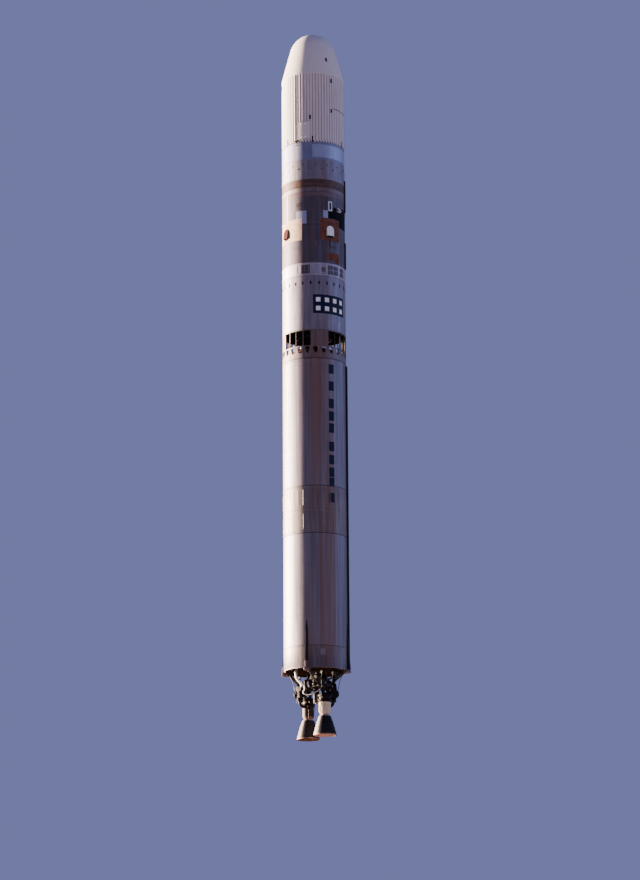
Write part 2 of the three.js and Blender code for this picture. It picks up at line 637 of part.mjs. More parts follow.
// Actuator rod with its eye round the lug's pin
function actuatorRod(azimuth) {
  const { halfWidth, radius, hole, sides } = EYE;
  const eye = bar([-halfWidth, -LEVER, 0], [halfWidth, -LEVER, 0], radius, sides);
  const shaft = bar([0, -LEVER, ROD.low], [0, -LEVER, ROD.high], ROD.radius, ROD.sides);
  const pinHole = bar([-2 * halfWidth, -LEVER, 0], [2 * halfWidth, -LEVER, 0], hole, sides);
  return placed(cut(join(eye, shaft), pinHole), azimuth);
}

// Actuator barrel with its head plate and pin, hung from the frame's bracket
function actuatorBarrel(azimuth) {
  const { z, radius, plate, plateHalf, earOuter, sides } = HEAD_PIN;
  const body = bar([0, -LEVER, BARREL.low], [0, -LEVER, BARREL.high], BARREL.radius, BARREL.sides);
  const bore = bar([0, -LEVER, ROD.low], [0, -LEVER, BARREL.boreTop], ROD.radius + PIN_GAP, ROD.sides);
  const { x, y } = around(LEVER, azimuth);
  const height = z - GIMBAL_Z;
  const head = box([x - plate, y - plateHalf, BARREL.headRoot], [x + plate, y + plateHalf, height + plateHalf]);
  const pin = bar([x - earOuter, y, height], [x + earOuter, y, height], radius, sides);
  return join(placed(cut(body, bore), azimuth), head, pin);
}

// Delivery pipe with the bellows sleeve round its inlet stub
function delivery({ stub: [stubX, stubY], bend, route }) {
  const x = stubX;
  const y = stubY + CHAMBER_Y;
  const low = GIMBAL_Z + BELLOWS.low;
  const fromGimbal = route.map(([px, py, pz]) => [px, py, GIMBAL_Z + pz]);
  const line = pipe([
    [x, y, GIMBAL_Z + DELIVERY.start], [x + bend[0], y + bend[1], GIMBAL_Z + bend[2]], ...fromGimbal,
  ], DELIVERY.radius);
  const sleeve = cut(
    bar([x, y, low], [x, y, GIMBAL_Z + BELLOWS.high], BELLOWS.outer, BELLOWS.sides),
    bar([x, y, low - SKIN], [x, y, GIMBAL_Z + BELLOWS.roof], BELLOWS.inner, BELLOWS.sides),
  );
  return join(line, sleeve);
}

// Turbopump: gearbox, two pumps, turbine and the delivery pipes with their bellows
function turbopump() {
  const { x, z, boxHalf, boxFrom, boxTo, boxLow, sides } = PUMP;
  const gearbox = box([x - boxHalf, boxFrom, z + boxLow], [x + boxHalf, boxTo, PUMP_ARM.low - SEAT_GAP]);
  const housings = PUMP_HOUSINGS.flatMap(({ from, to, radius, inletX, inletY, inletR }) => [
    bar([x, from, z], [x, to, z], radius, sides),
    bar([inletX, inletY, z + INLET.low], [inletX, inletY, SUCTION.foot], inletR, INLET.sides),
  ]);
  const turbine = bar([x, TURBINE.y, z + TURBINE.low], [x, TURBINE.y, z + TURBINE.high], TURBINE.radius, sides);
  return join(gearbox, ...housings, turbine, ...DELIVERIES.map(delivery));
}

// Suction line from the tank's dome down to a pump's inlet
function suctionLine(points) {
  const radius = FUEL_DOME.radius + SEAT_GAP;
  const dome = domePoints({ radius, height: FUEL_DOME.height + SEAT_GAP }, FUEL_TANK_BASE, -1);
  const tank = lathe([...dome, [radius, FUEL_TANK_BASE * 2], [0, FUEL_TANK_BASE * 2]]);
  const [x, y, z] = points[points.length - 1];
  const leg = bar([x, y, z + SUCTION.overlap], [x, y, SUCTION.foot + SEAT_GAP], SUCTION.radius);
  return cut(join(pipe(points, SUCTION.radius), leg), tank);
}

function exhaustDuct() {
  const [[x, y, z], ...rest] = EXHAUST.points;
  return pipe([[x, y, z - SEAT_GAP], ...rest], EXHAUST.radius);
}

// One half of the first-stage engine; the group's turn puts it at the front or the back
function engineHalf({ side, turn, blanketR, blanketFinish }) {
  const half = new THREE.Group();
  half.add(piece(`thrust_frame_${side}`, thrustFrame(), 'tubeSteel'));
  half.add(piece(`turbopump_${side}`, turbopump(), 'darkSteel'));
  half.add(piece(`exhaust_duct_${side}`, exhaustDuct(), 'darkSteel'));
  for (const { name, points } of SUCTION_LINES) {
    half.add(piece(`${name}_${side}`, suctionLine(points), 'blanket'));
  }
  const chamber = new THREE.Group();
  chamber.position.set(0, CHAMBER_Y, GIMBAL_Z);
  chamber.add(piece(`gimbal_cross_${side}`, gimbalCross(), 'brightSteel'));
  chamber.add(piece(`injector_head_${side}`, chamberHead(), 'darkSteel'));
  chamber.add(piece(`nozzle_${side}`, nozzle(), 'darkSteel'));
  chamber.add(piece(`chamber_blanket_${side}`, blanket(blanketR), blanketFinish));
  for (const { letter, azimuth } of ACTUATORS) {
    chamber.add(piece(`actuator_barrel_${side}_${letter}`, actuatorBarrel(azimuth), 'tubeSteel'));
    chamber.add(piece(`actuator_rod_${side}_${letter}`, actuatorRod(azimuth), 'brightSteel'));
  }
  half.add(chamber);
  half.rotation.z = turn;
  return half;
}

const rocket = new THREE.Group();

rocket.add(piece('aft_skirt', aftSkirt(), 'bareSkin'));
LONGERON_AZIMUTHS.forEach((azimuth, index) => {
  rocket.add(piece(`longeron_${index + 1}`, longeron(azimuth), 'stiffSkin'));
});
rocket.add(piece('fuel_tank', fuelTank(), 'bareSkin'));
rocket.add(piece('oxidiser_tank', oxidiserTank(), 'bareSkin'));
rocket.add(piece('interstage', interstage(), 'stiffSkin'));
rocket.add(piece('upper_engine', upperEngine(), 'darkSteel'));
const upperSkirtTop = UPPER_TANK_BASE - SEAT_GAP;
rocket.add(piece('upper_skirt', ring(BODY_R, BODY_R - SKIN, STAGE_JOINT, upperSkirtTop), 'bareSkin'));
rocket.add(piece('upper_fuel_tank', upperFuelTank(), 'bareSkin'));

// Plain closed sections of the body
const SECTIONS = [
  { name: 'between_tanks', base: BETWEEN_TANKS_BASE, top: OXIDISER_TANK_BASE, finish: 'stiffSkin' },
  { name: 'pale_ring', base: PALE_RING_BASE, top: EQUIPMENT_BASE, finish: 'palePaint' },
  { name: 'equipment_section', base: EQUIPMENT_BASE, top: UPPER_OXIDISER_BASE, finish: 'bareSkin' },
  { name: 'upper_oxidiser_tank', base: UPPER_OXIDISER_BASE, top: BRONZE_BAND_BASE, finish: 'bareSkin' },
  { name: 'bronze_band', base: BRONZE_BAND_BASE, top: FORWARD_SKIRT_BASE, finish: 'bronze' },
  { name: 'forward_skirt', base: FORWARD_SKIRT_BASE, top: ADAPTER_BASE, finish: 'stiffSkin' },
  { name: 'payload_adapter', base: ADAPTER_BASE, top: FAIRING_BASE, finish: 'palePaint' },
];
for (const { name, base, top, finish } of SECTIONS) {
  rocket.add(piece(name, disc(BODY_R, base, top - SEAT_GAP), finish));
}

const shell = cut(fairingShell(), doorPanel(BODY_R + SKIN, SEAT_GAP));
FAIRING_SECTORS.forEach((name, index) => {
  rocket.add(piece(`fairing_${name}`, fairingSector(shell, index), 'fairing'));
});
rocket.add(piece('fairing_door', doorPanel(DOOR.outer, 0), 'fairing'));

for (const cover of COVERS) {
  rocket.add(piece(`insulation_${cover.name}`, panel(cover), 'insulation'));
  rocket.add(piece(`thruster_cover_${cover.name}`, thrusterCover(cover), 'palePaint'));
}
for (const line of RACEWAYS) {
  rocket.add(piece(line.name, raceway(line), 'darkPaint'));
}
HALVES.forEach((half) => rocket.add(engineHalf(half)));

export default rocket;
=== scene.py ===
"""Looks of a two-stage space rocket: its skins, fairing, engines, fittings, marks, finishes and studio.

Everything is in metres in the rocket's own frame: +Z towards the nose, the origin on the long axis in the
plane of the four feet. An azimuth is in degrees round the body, from the -Y side and rising towards +X.
"""

import json
import logging
from collections.abc import Callable, Iterable, Sequence
from dataclasses import dataclass, field
from enum import Enum
from math import atan2, copysign, cos, degrees, hypot, pi, radians, sin, tan, tau

import bmesh
import bpy
from mathutils import Matrix, Vector

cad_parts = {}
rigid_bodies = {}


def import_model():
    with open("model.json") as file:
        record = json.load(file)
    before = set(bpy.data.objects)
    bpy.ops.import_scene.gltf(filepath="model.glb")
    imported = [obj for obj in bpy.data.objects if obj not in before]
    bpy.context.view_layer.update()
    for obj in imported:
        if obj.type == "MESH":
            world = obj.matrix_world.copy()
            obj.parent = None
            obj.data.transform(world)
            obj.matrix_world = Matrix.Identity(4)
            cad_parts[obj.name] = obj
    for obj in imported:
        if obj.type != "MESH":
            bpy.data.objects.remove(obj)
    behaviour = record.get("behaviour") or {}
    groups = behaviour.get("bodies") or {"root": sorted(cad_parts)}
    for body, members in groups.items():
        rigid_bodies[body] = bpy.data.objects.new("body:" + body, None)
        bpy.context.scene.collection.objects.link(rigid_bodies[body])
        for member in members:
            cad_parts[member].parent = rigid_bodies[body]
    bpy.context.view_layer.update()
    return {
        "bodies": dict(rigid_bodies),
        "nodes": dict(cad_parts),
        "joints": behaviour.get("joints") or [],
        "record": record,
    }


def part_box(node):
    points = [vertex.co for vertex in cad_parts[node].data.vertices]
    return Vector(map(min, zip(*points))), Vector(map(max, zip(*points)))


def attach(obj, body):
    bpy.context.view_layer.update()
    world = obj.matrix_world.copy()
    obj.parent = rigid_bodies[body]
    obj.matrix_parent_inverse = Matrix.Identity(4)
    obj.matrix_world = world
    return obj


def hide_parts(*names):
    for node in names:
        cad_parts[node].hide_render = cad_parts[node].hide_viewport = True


LOG = logging.getLogger("rocket")

Mesh = bmesh.types.BMesh
Socket = bpy.types.NodeSocket
Point = tuple[float, float]
Spot = tuple[float, float, float]

BODY_R = 1.525
# Radius inside the walls of the hollow skirts
INNER_R = BODY_R - 0.035
BODY_STEPS = 144
RIVET_COUNT = 144
AIRFRAME = "airframe"
UP = Vector((0.0, 0.0, 1.0))
# Away from the rocket, for a piece that is made on the flat wall y = 0
OUTWARD = (0.0, -1.0, 0.0)


# Colour and node helpers


def linear(code: str) -> tuple[float, float, float, float]:
    """Turns an sRGB hex colour into linear red, green, blue and alpha.

    Args:
        code: Six hex digits.

    Returns:
        The linear colour with an alpha of 1.
    """
    channels = [int(code[start : start + 2], 16) / 255 for start in (0, 2, 4)]
    straight = [c / 12.92 if c <= 0.04045 else ((c + 0.055) / 1.055) ** 2.4 for c in channels]
    return (*straight, 1.0)


def plug(tree: bpy.types.NodeTree, socket: Socket, value: object) -> None:
    """Links a socket to another one, or sets its plain value.

    Args:
        tree: The node tree that both belong to.
        socket: The input that is fed.
        value: An output socket, a hex colour as text, or numbers.
    """
    if isinstance(value, Socket):
        tree.links.new(value, socket)
    else:
        socket.default_value = linear(value) if isinstance(value, str) else value


def add_node(tree: bpy.types.NodeTree, kind: str, inputs: dict | None = None, **settings) -> bpy.types.Node:
    """Adds one node with its settings and links.

    Args:
        tree: The node tree that gets the node.
        kind: The node's type name.
        inputs: Values or output sockets for the inputs, by name or number.
        settings: Properties of the node.

    Returns:
        The new node.
    """
    made = tree.nodes.new(kind)
    for name, value in settings.items():
        setattr(made, name, value)
    for key, value in (inputs or {}).items():
        plug(tree, made.inputs[key], value)
    return made


@dataclass
class Recipe:
    """A material under construction: its tree, its shader and its place on the object."""

    name: str
    material: bpy.types.Material = field(init=False)
    tree: bpy.types.NodeTree = field(init=False)
    shader: bpy.types.Node = field(init=False)
    place: Socket = field(init=False)

    def __post_init__(self) -> None:
        """Starts the tree with a shader, an output and the object's coordinates."""
        self.material = bpy.data.materials.new(self.name)
        self.material.use_nodes = True
        self.tree = self.material.node_tree
        self.tree.nodes.clear()
        self.shader = add_node(self.tree, "ShaderNodeBsdfPrincipled")
        add_node(self.tree, "ShaderNodeOutputMaterial", {"Surface": self.shader.outputs["BSDF"]})
        self.place = add_node(self.tree, "ShaderNodeTexCoord").outputs["Object"]

    def grain(self, size: Spot, detail: float = 5.0, rough: float = 0.55, seed: float = 0.0) -> Socket:
        """Builds a cloudy pattern whose features have the given size.

        Args:
            size: Feature size along X, Y and Z in millimetres.
            detail: Octaves of finer pattern.
            rough: Share of the finer octaves.
            seed: Shift that tells two patterns apart.

        Returns:
            The pattern's value, about 0.5 on average.
        """
        scale = tuple(1000.0 / millimetres for millimetres in size)
        shift = {"Vector": self.place, "Scale": scale, "Location": (seed,) * 3}
        placed = add_node(self.tree, "ShaderNodeMapping", shift)
        inputs = {"Vector": placed.outputs[0], "Scale": 1.0, "Detail": detail, "Roughness": rough}
        return add_node(self.tree, "ShaderNodeTexNoise", inputs).outputs[0]

    def orange_peel(self) -> tuple[Socket, float]:
        """Gives a sprayed coat's relief layer, with bumps about 3 mm across, drawn as they are."""
        return self.grain((3.0, 3.0, 3.0), detail=1.0), 0.05

    def between(self, value: Socket, low: float = 0.3, high: float = 0.7, to: Point = (0.0, 1.0)) -> Socket:
        """Stretches the range from low to high, at first that of a cloudy pattern, to another range."""
        inputs = {"Value": value, "From Min": low, "From Max": high, "To Min": to[0], "To Max": to[1]}
        return add_node(self.tree, "ShaderNodeMapRange", inputs).outputs[0]

    def blend(self, share: Socket | float, first: Socket | str, second: Socket | str) -> Socket:
        """Mixes two colours, each a hex code or a socket, by a share of the second."""
        # Inputs 0, 6 and 7 of this node are the share and the two colours, and output 2 is the mixed colour
        inputs = {0: share, 6: first, 7: second}
        return add_node(self.tree, "ShaderNodeMix", inputs, data_type="RGBA").outputs[2]

    def count(self, operation: str, *values: Socket | float) -> Socket:
        """Combines values by an arithmetic operation."""
        return add_node(self.tree, "ShaderNodeMath", dict(enumerate(values)), operation=operation).outputs[0]

    def azimuth(self, centre: Point = (0.0, 0.0)) -> Socket:
        """Gives the angle round a vertical axis.

        Args:
            centre: Where the axis stands, as X and Y.

        Returns:
            The angle in radians, counted from the +X side.
        """
        shift = {"Vector": self.place, "Location": (-centre[0], -centre[1], 0.0)}
        placed = add_node(self.tree, "ShaderNodeMapping", shift)
        parts = add_node(self.tree, "ShaderNodeSeparateXYZ", {0: placed.outputs[0]})
        return self.count("ARCTAN2", parts.outputs[1], parts.outputs[0])

    def radius(self) -> Socket:
        """Gives the distance from the long axis in metres.

        Returns:
            The distance.
        """
        parts = add_node(self.tree, "ShaderNodeSeparateXYZ", {0: self.place})
        squares = [self.count("MULTIPLY", parts.outputs[axis], parts.outputs[axis]) for axis in (0, 1)]
        return self.count("SQRT", self.count("ADD", *squares))

    def height(self) -> Socket:
        """Gives the height above the feet in metres."""
        return add_node(self.tree, "ShaderNodeSeparateXYZ", {0: self.place}).outputs[2]

    def relief(self, *layers: tuple[Socket, float]) -> None:
        """Raises the surface by patterns, one on the other.

        Args:
            layers: Patterns, each with its full height in millimetres.
        """
        stack = {}
        for pattern, millimetres in layers:
            inputs = {"Height": pattern, "Distance": millimetres / 1000.0, "Strength": 1.0, **stack}
            stack = {"Normal": add_node(self.tree, "ShaderNodeBump", inputs).outputs[0]}
        self.set(**stack)

    def set(self, **inputs: object) -> None:
        """Sets or links the shader's inputs; an underscore in a name stands for a space."""
        for key, value in inputs.items():
            plug(self.tree, self.shader.inputs[key.replace("_", " ")], value)


# Finishes


@dataclass(frozen=True)
class Coating:
    """A finish: the name of its material and the way that it is mixed."""

    name: str

    def build(self) -> bpy.types.Material:
        """Builds the material.

        Returns:
            The mixed material.
        """
        recipe = Recipe(self.name)
        self.mix(recipe)
        return recipe.material

    def mix(self, recipe: Recipe) -> None:
        """Mixes the look; each finish has its own way.

        Args:
            recipe: The material under construction.
        """
        raise NotImplementedError


@dataclass(frozen=True)
class SheetAluminium(Coating):
    """Bare rolled aluminium alloy sheet: dull satin metal, with three broad upright brown bands of painted
    reflection round it.
    """

    light: str = "8e8684"
    dark: str = "6a6268"
    painted_reflection: str = "6e4f44"
    roughness: float = 0.52
    painted_reflection_share: float = 0.75
    streak: Spot = (110.0, 110.0, 4200.0)
    # Where the brownest of the three bands of painted reflection lies
    painted_reflection_azimuth: float = -18.0

    def mix(self, recipe: Recipe) -> None:
        """Mixes the look."""
        streaks = recipe.grain(self.streak, detail=4.0, rough=0.5)
        clouds = recipe.grain((430.0, 430.0, 9000.0), detail=3.0, seed=7.0)
        hoops = recipe.grain((9000.0, 9000.0, 170.0), detail=3.0, seed=3.0)
        # Three broad upright bands round the sheet, broken up by clouds, take the brown colour: a painted
        # reflection of dark surroundings
        angle = recipe.count("ADD", recipe.azimuth(), radians(90.0 - self.painted_reflection_azimuth))
        wave = recipe.count("COSINE", recipe.count("MULTIPLY", angle, 3.0))
        share = recipe.count("MULTIPLY", recipe.between(wave, -0.5, 1.0), recipe.between(clouds, 0.3, 0.6))
        tone = recipe.blend(recipe.between(streaks, 0.3, 0.72), self.light, self.dark)
        tone = recipe.blend(recipe.count("MULTIPLY", share, self.painted_reflection_share), tone, self.painted_reflection)
        tone = recipe.blend(recipe.between(hoops, 0.5, 0.8, (0.0, 0.25)), tone, self.dark)
        gloss = recipe.between(clouds, to=(self.roughness - 0.05, self.roughness + 0.07))
        dents = recipe.grain((420.0, 420.0, 640.0), detail=1.0, seed=11.0)
        recipe.set(Base_Color=tone, Metallic=0.9, Roughness=gloss)
        recipe.relief((dents, 4.0), (recipe.grain((6.0, 6.0, 60.0), detail=2.0), 0.12))


@dataclass(frozen=True)
class SatinPaint(Coating):
    """Sprayed satin enamel: an even coat that has gathered soot and run-off streaks below each joint."""

    colour: str
    grime: str = "6b6459"
    grime_share: float = 0.3
    roughness: float = 0.45
    shine: float = 0.4
    # Runs and spots overlap on less than half of the skin, so their product is raised
    overlap: float = 2.2

    def mix(self, recipe: Recipe) -> None:
        """Mixes the look."""
        runs = recipe.grain((45.0, 45.0, 1400.0), detail=5.0, seed=2.0)
        spots = recipe.grain((160.0, 160.0, 220.0), detail=6.0, rough=0.7, seed=5.0)
        dirt = recipe.count("MULTIPLY", recipe.between(runs, 0.46, 0.74), recipe.between(spots, 0.35, 0.7))
        share = recipe.count("MULTIPLY", dirt, self.grime_share * self.overlap)
        recipe.set(Base_Color=recipe.blend(share, self.colour, self.grime), Specular_IOR_Level=self.shine)
        recipe.set(Roughness=recipe.between(spots, to=(self.roughness - 0.05, self.roughness + 0.12)))
        recipe.relief(recipe.orange_peel(), (spots, 0.4))


@dataclass(frozen=True)
class AblativeCoating(Coating):
    """Brushed-on phenolic heat coating: brown, matt to satin, with brush bands and blotches."""

    light: str
    dark: str

    def mix(self, recipe: Recipe) -> None:
        """Mixes the look."""
        bands = recipe.grain((5000.0, 5000.0, 60.0), detail=5.0, rough=0.65)
        blotches = recipe.grain((240.0, 240.0, 150.0), detail=6.0, rough=0.6, seed=4.0)
        tone = recipe.blend(recipe.between(bands, 0.35, 0.68), self.light, self.dark)
        tone = recipe.blend(recipe.between(blotches, 0.5, 0.72, (0.0, 0.75)), tone, self.dark)
        recipe.set(Base_Color=tone, Metallic=0.35, Roughness=recipe.between(blotches, to=(0.38, 0.62)))
        recipe.relief((bands, 0.8), (blotches, 1.2))


@dataclass(frozen=True)
class CorkSheet(Coating):
    """Bonded granulated cork sheet: warm brown, fully matt, with granules 4 to 8 mm across."""

    light: str = "c07a45"
    dark: str = "6b3620"
    # The real granules are too fine for the render, so they are drawn about four times as coarse
    granule: float = 26.0

    def mix(self, recipe: Recipe) -> None:
        """Mixes the look."""
        scale = 1000.0 / self.granule
        cells = add_node(recipe.tree, "ShaderNodeTexVoronoi", {"Vector": recipe.place, "Scale": scale})
        clouds = recipe.grain((210.0, 210.0, 170.0), detail=6.0, rough=0.65, seed=9.0)
        tone = recipe.blend(recipe.between(clouds, 0.36, 0.68), self.light, self.dark)
        tone = recipe.blend(recipe.between(cells.outputs["Distance"], 0.1, 0.75, (0.0, 0.45)), tone,
                            self.dark)
        recipe.set(Base_Color=tone, Roughness=0.88, Specular_IOR_Level=0.25)
        recipe.relief((cells.outputs["Distance"], 2.0), (clouds, 3.0))


@dataclass(frozen=True)
class FlutedEnamel(Coating):
    """Sprayed cream enamel on a fluted skin: clean crests, with the flutes painted darker as shade and
    streaked with soot.
    """

    colour: str = "c8c0c0"
    # Colour of the flutes: painted shade in the hollows
    painted_flute_shade: str = "9c8b8e"
    grime: str = "a39a92"
    flute_top: float = 29.52
    valley_r: float = 1.512
    crest_r: float = 1.522

    def mix(self, recipe: Recipe) -> None:
        """Mixes the look."""
        runs = recipe.grain((45.0, 45.0, 1800.0), detail=5.0, seed=2.0)
        clouds = recipe.grain((600.0, 600.0, 900.0), detail=4.0, seed=5.0)
        low = recipe.count("LESS_THAN", recipe.height(), self.flute_top)
        inside = recipe.between(recipe.radius(), self.crest_r, self.valley_r)
        flutes = recipe.count("MULTIPLY", low, inside)
        # The flutes are painted darker as shade, most where soot runs down them
        flute_shade_and_soot = recipe.count("MULTIPLY", flutes, recipe.between(runs, 0.3, 0.6, (0.55, 1.0)))
        tone = recipe.blend(recipe.between(runs, 0.5, 0.8, (0.0, 0.25)), self.colour, self.grime)
        tone = recipe.blend(recipe.between(clouds, 0.5, 0.8, (0.0, 0.12)), tone, self.grime)
        recipe.set(Base_Color=recipe.blend(flute_shade_and_soot, tone, self.painted_flute_shade))
        recipe.set(Roughness=recipe.between(clouds, to=(0.46, 0.6)))
        recipe.relief((clouds, 0.6), recipe.orange_peel())


@dataclass(frozen=True)
class ScorchedBell(Coating):
    """Brazed nickel-steel cooling tubes: upright flutes, blue-black heat tint, a straw exit edge and painted
    light on the sunward side.
    """

    centre: Point
    top: float
    exit: float
    tubes: int = 110
    # Colour of the side towards the key light: painted light
    painted_sunlit_colour: str = "a3958a"
    # The azimuth of the key light, which the side painted lighter as painted light faces
    painted_sunlit_azimuth: float = -139.5
    groove: str = "1c1a1c"
    sooted: str = "18161b"
    # The heat tints, each with its place from the exit at 0 to the top at 1
    tints: tuple[tuple[float, str], ...] = ((0.0, "6e4c42"), (0.02, "34282b"), (0.05, "201d23"),
                                            (0.3, "1b1920"), (0.7, "1d1a21"), (1.0, "282124"))

    def mix(self, recipe: Recipe) -> None:
        """Mixes the look."""
        run = recipe.between(recipe.height(), self.exit, self.top)
        soot = recipe.grain((90.0, 90.0, 420.0), detail=6.0, rough=0.65)
        wobble = recipe.count("ADD", run, recipe.between(soot, to=(-0.03, 0.03)))
        ramp = add_node(recipe.tree, "ShaderNodeValToRGB", {0: wobble})
        first, *middle, last = self.tints
        stops = ramp.color_ramp.elements
        stops[0].color, stops[1].color = linear(first[1]), linear(last[1])
        for position, colour in middle:
            stops.new(position).color = linear(colour)
        angle = recipe.azimuth(self.centre)
        flutes = recipe.count("SINE", recipe.count("MULTIPLY", angle, float(self.tubes)))
        tone = recipe.blend(recipe.between(flutes, -1.0, 0.4, (0.2, 0.0)), ramp.outputs[0], self.groove)
        tone = recipe.blend(recipe.between(soot, 0.56, 0.78, (0.0, 0.3)), tone, self.sooted)
        # The side that faces the key light is painted lighter: painted light
        facing = recipe.count("COSINE", recipe.count("ADD", angle, radians(90.0 - self.painted_sunlit_azimuth)))
        tone = recipe.blend(recipe.between(facing, 0.24, 0.48, (0.0, 0.95)), tone, self.painted_sunlit_colour)
        recipe.set(Base_Color=tone, Specular_IOR_Level=0.1, Roughness=recipe.between(soot, to=(0.6, 0.75)))
        recipe.relief((recipe.between(flutes, -1.0, 1.0), 1.2), (soot, 0.3))


@dataclass(frozen=True)
class GlassClothBlanket(Coating):
    """Stitched glass-cloth blanket: cream, matt, quilted in pads about 70 mm square, with scorched patches
    and darker seams.
    """

    colour: str = "e4d8bf"
    scorch: str = "7a5f42"
    pad: float = 70.0

    def mix(self, recipe: Recipe) -> None:
        """Mixes the look."""
        clouds = recipe.grain((130.0, 130.0, 110.0), detail=6.0, rough=0.6)
        rows = recipe.count("SINE", recipe.count("MULTIPLY", recipe.height(), tau * 1000.0 / self.pad))
        # The weave's threads are 1 mm apart, drawn 4 mm apart so that they show
        weave = recipe.grain((4.0, 4.0, 4.0), detail=1.0, seed=6.0)
        tone = recipe.blend(recipe.between(clouds, 0.5, 0.75, (0.0, 0.4)), self.colour, self.scorch)
        # Each seam between pads is a little darker
        tone = recipe.blend(recipe.between(rows, -1.0, -0.7, (0.2, 0.0)), tone, self.scorch)
        recipe.set(Base_Color=tone, Roughness=0.85, Sheen_Weight=0.15)
        recipe.relief((recipe.between(rows, -1.0, 1.0), 1.5), (clouds, 3.0), (weave, 0.4))


@dataclass(frozen=True)
class MachinedMetal(Coating):
    """Turned or milled steel and alloy fittings: even metal with fine cutter lines and oily finger marks."""

    colour: str
    tint: str = "6a5a4c"
    roughness: float = 0.3
    tint_share: float = 0.35

    def mix(self, recipe: Recipe) -> None:
        """Mixes the look."""
        marks = recipe.grain((60.0, 60.0, 60.0), detail=6.0, rough=0.62)
        lines = recipe.grain((400.0, 400.0, 1.5), detail=2.0, seed=8.0)
        tone = recipe.blend(recipe.between(marks, 0.42, 0.75, (0.0, self.tint_share)), self.colour, self.tint)
        recipe.set(Base_Color=tone, Metallic=0.95)
        recipe.set(Roughness=recipe.between(marks, to=(self.roughness - 0.06, self.roughness + 0.14)))
        recipe.relief((lines, 0.05), (marks, 0.3))


@dataclass(frozen=True)
class WeldedTubeSteel(Coating):
    """Primed and sooted steel tube: dark grey-brown paint, worn to metal on its corners."""

    paint: str = "4d4641"
    rust: str = "6d4a35"
    metal: str = "a79d93"

    def mix(self, recipe: Recipe) -> None:
        """Mixes the look."""
        dust = recipe.grain((110.0, 110.0, 140.0), detail=7.0, rough=0.65)
        specks = recipe.grain((22.0, 22.0, 22.0), detail=5.0, rough=0.7, seed=3.0)
        edges = add_node(recipe.tree, "ShaderNodeNewGeometry").outputs["Pointiness"]
        tone = recipe.blend(recipe.between(dust, 0.42, 0.7), self.paint, self.rust)
        worn = recipe.between(recipe.count("ADD", edges, recipe.between(specks, to=(-0.06, 0.06))), 0.52, 0.6)
        recipe.set(Base_Color=recipe.blend(worn, tone, self.metal))
        recipe.set(Metallic=0.2, Specular_IOR_Level=0.15, Roughness=recipe.between(dust, to=(0.45, 0.7)))
        recipe.relief((dust, 0.8), (specks, 0.3))


@dataclass(frozen=True)
class BraidedHose(Coating):
    """Steel-braided rubber hose: dark rubber under a fine, bright braid."""

    colour: str = "2b2a2d"
    wire: str = "5d5a58"
    # The real strands are about 3 mm wide, drawn three times as coarse so that they show
    strand: float = 9.0

    def mix(self, recipe: Recipe) -> None:
        """Mixes the look."""
        strands = recipe.grain((self.strand,) * 3, detail=2.0)
        tone = recipe.blend(recipe.between(strands, 0.4, 0.6), self.colour, self.wire)
        recipe.set(Base_Color=tone, Roughness=0.55, Metallic=0.3)
        recipe.relief((strands, 0.8))


@dataclass(frozen=True)
class StudioFloor(Coating):
    """Power-floated pale screed: an even matt floor with very faint clouding."""

    name: str = "pale_screed"
    colour: str = "dcdbd8"
    cloud: str = "cfcdc9"

    def mix(self, recipe: Recipe) -> None:
        """Mixes the look."""
        clouds = recipe.grain((5200.0, 5200.0, 5200.0), detail=6.0)
        tone = recipe.blend(recipe.between(clouds, to=(0.0, 0.35)), self.colour, self.cloud)
        recipe.set(Base_Color=tone, Roughness=0.8)
        recipe.relief((recipe.grain((12.0, 12.0, 12.0), detail=3.0), 0.4))


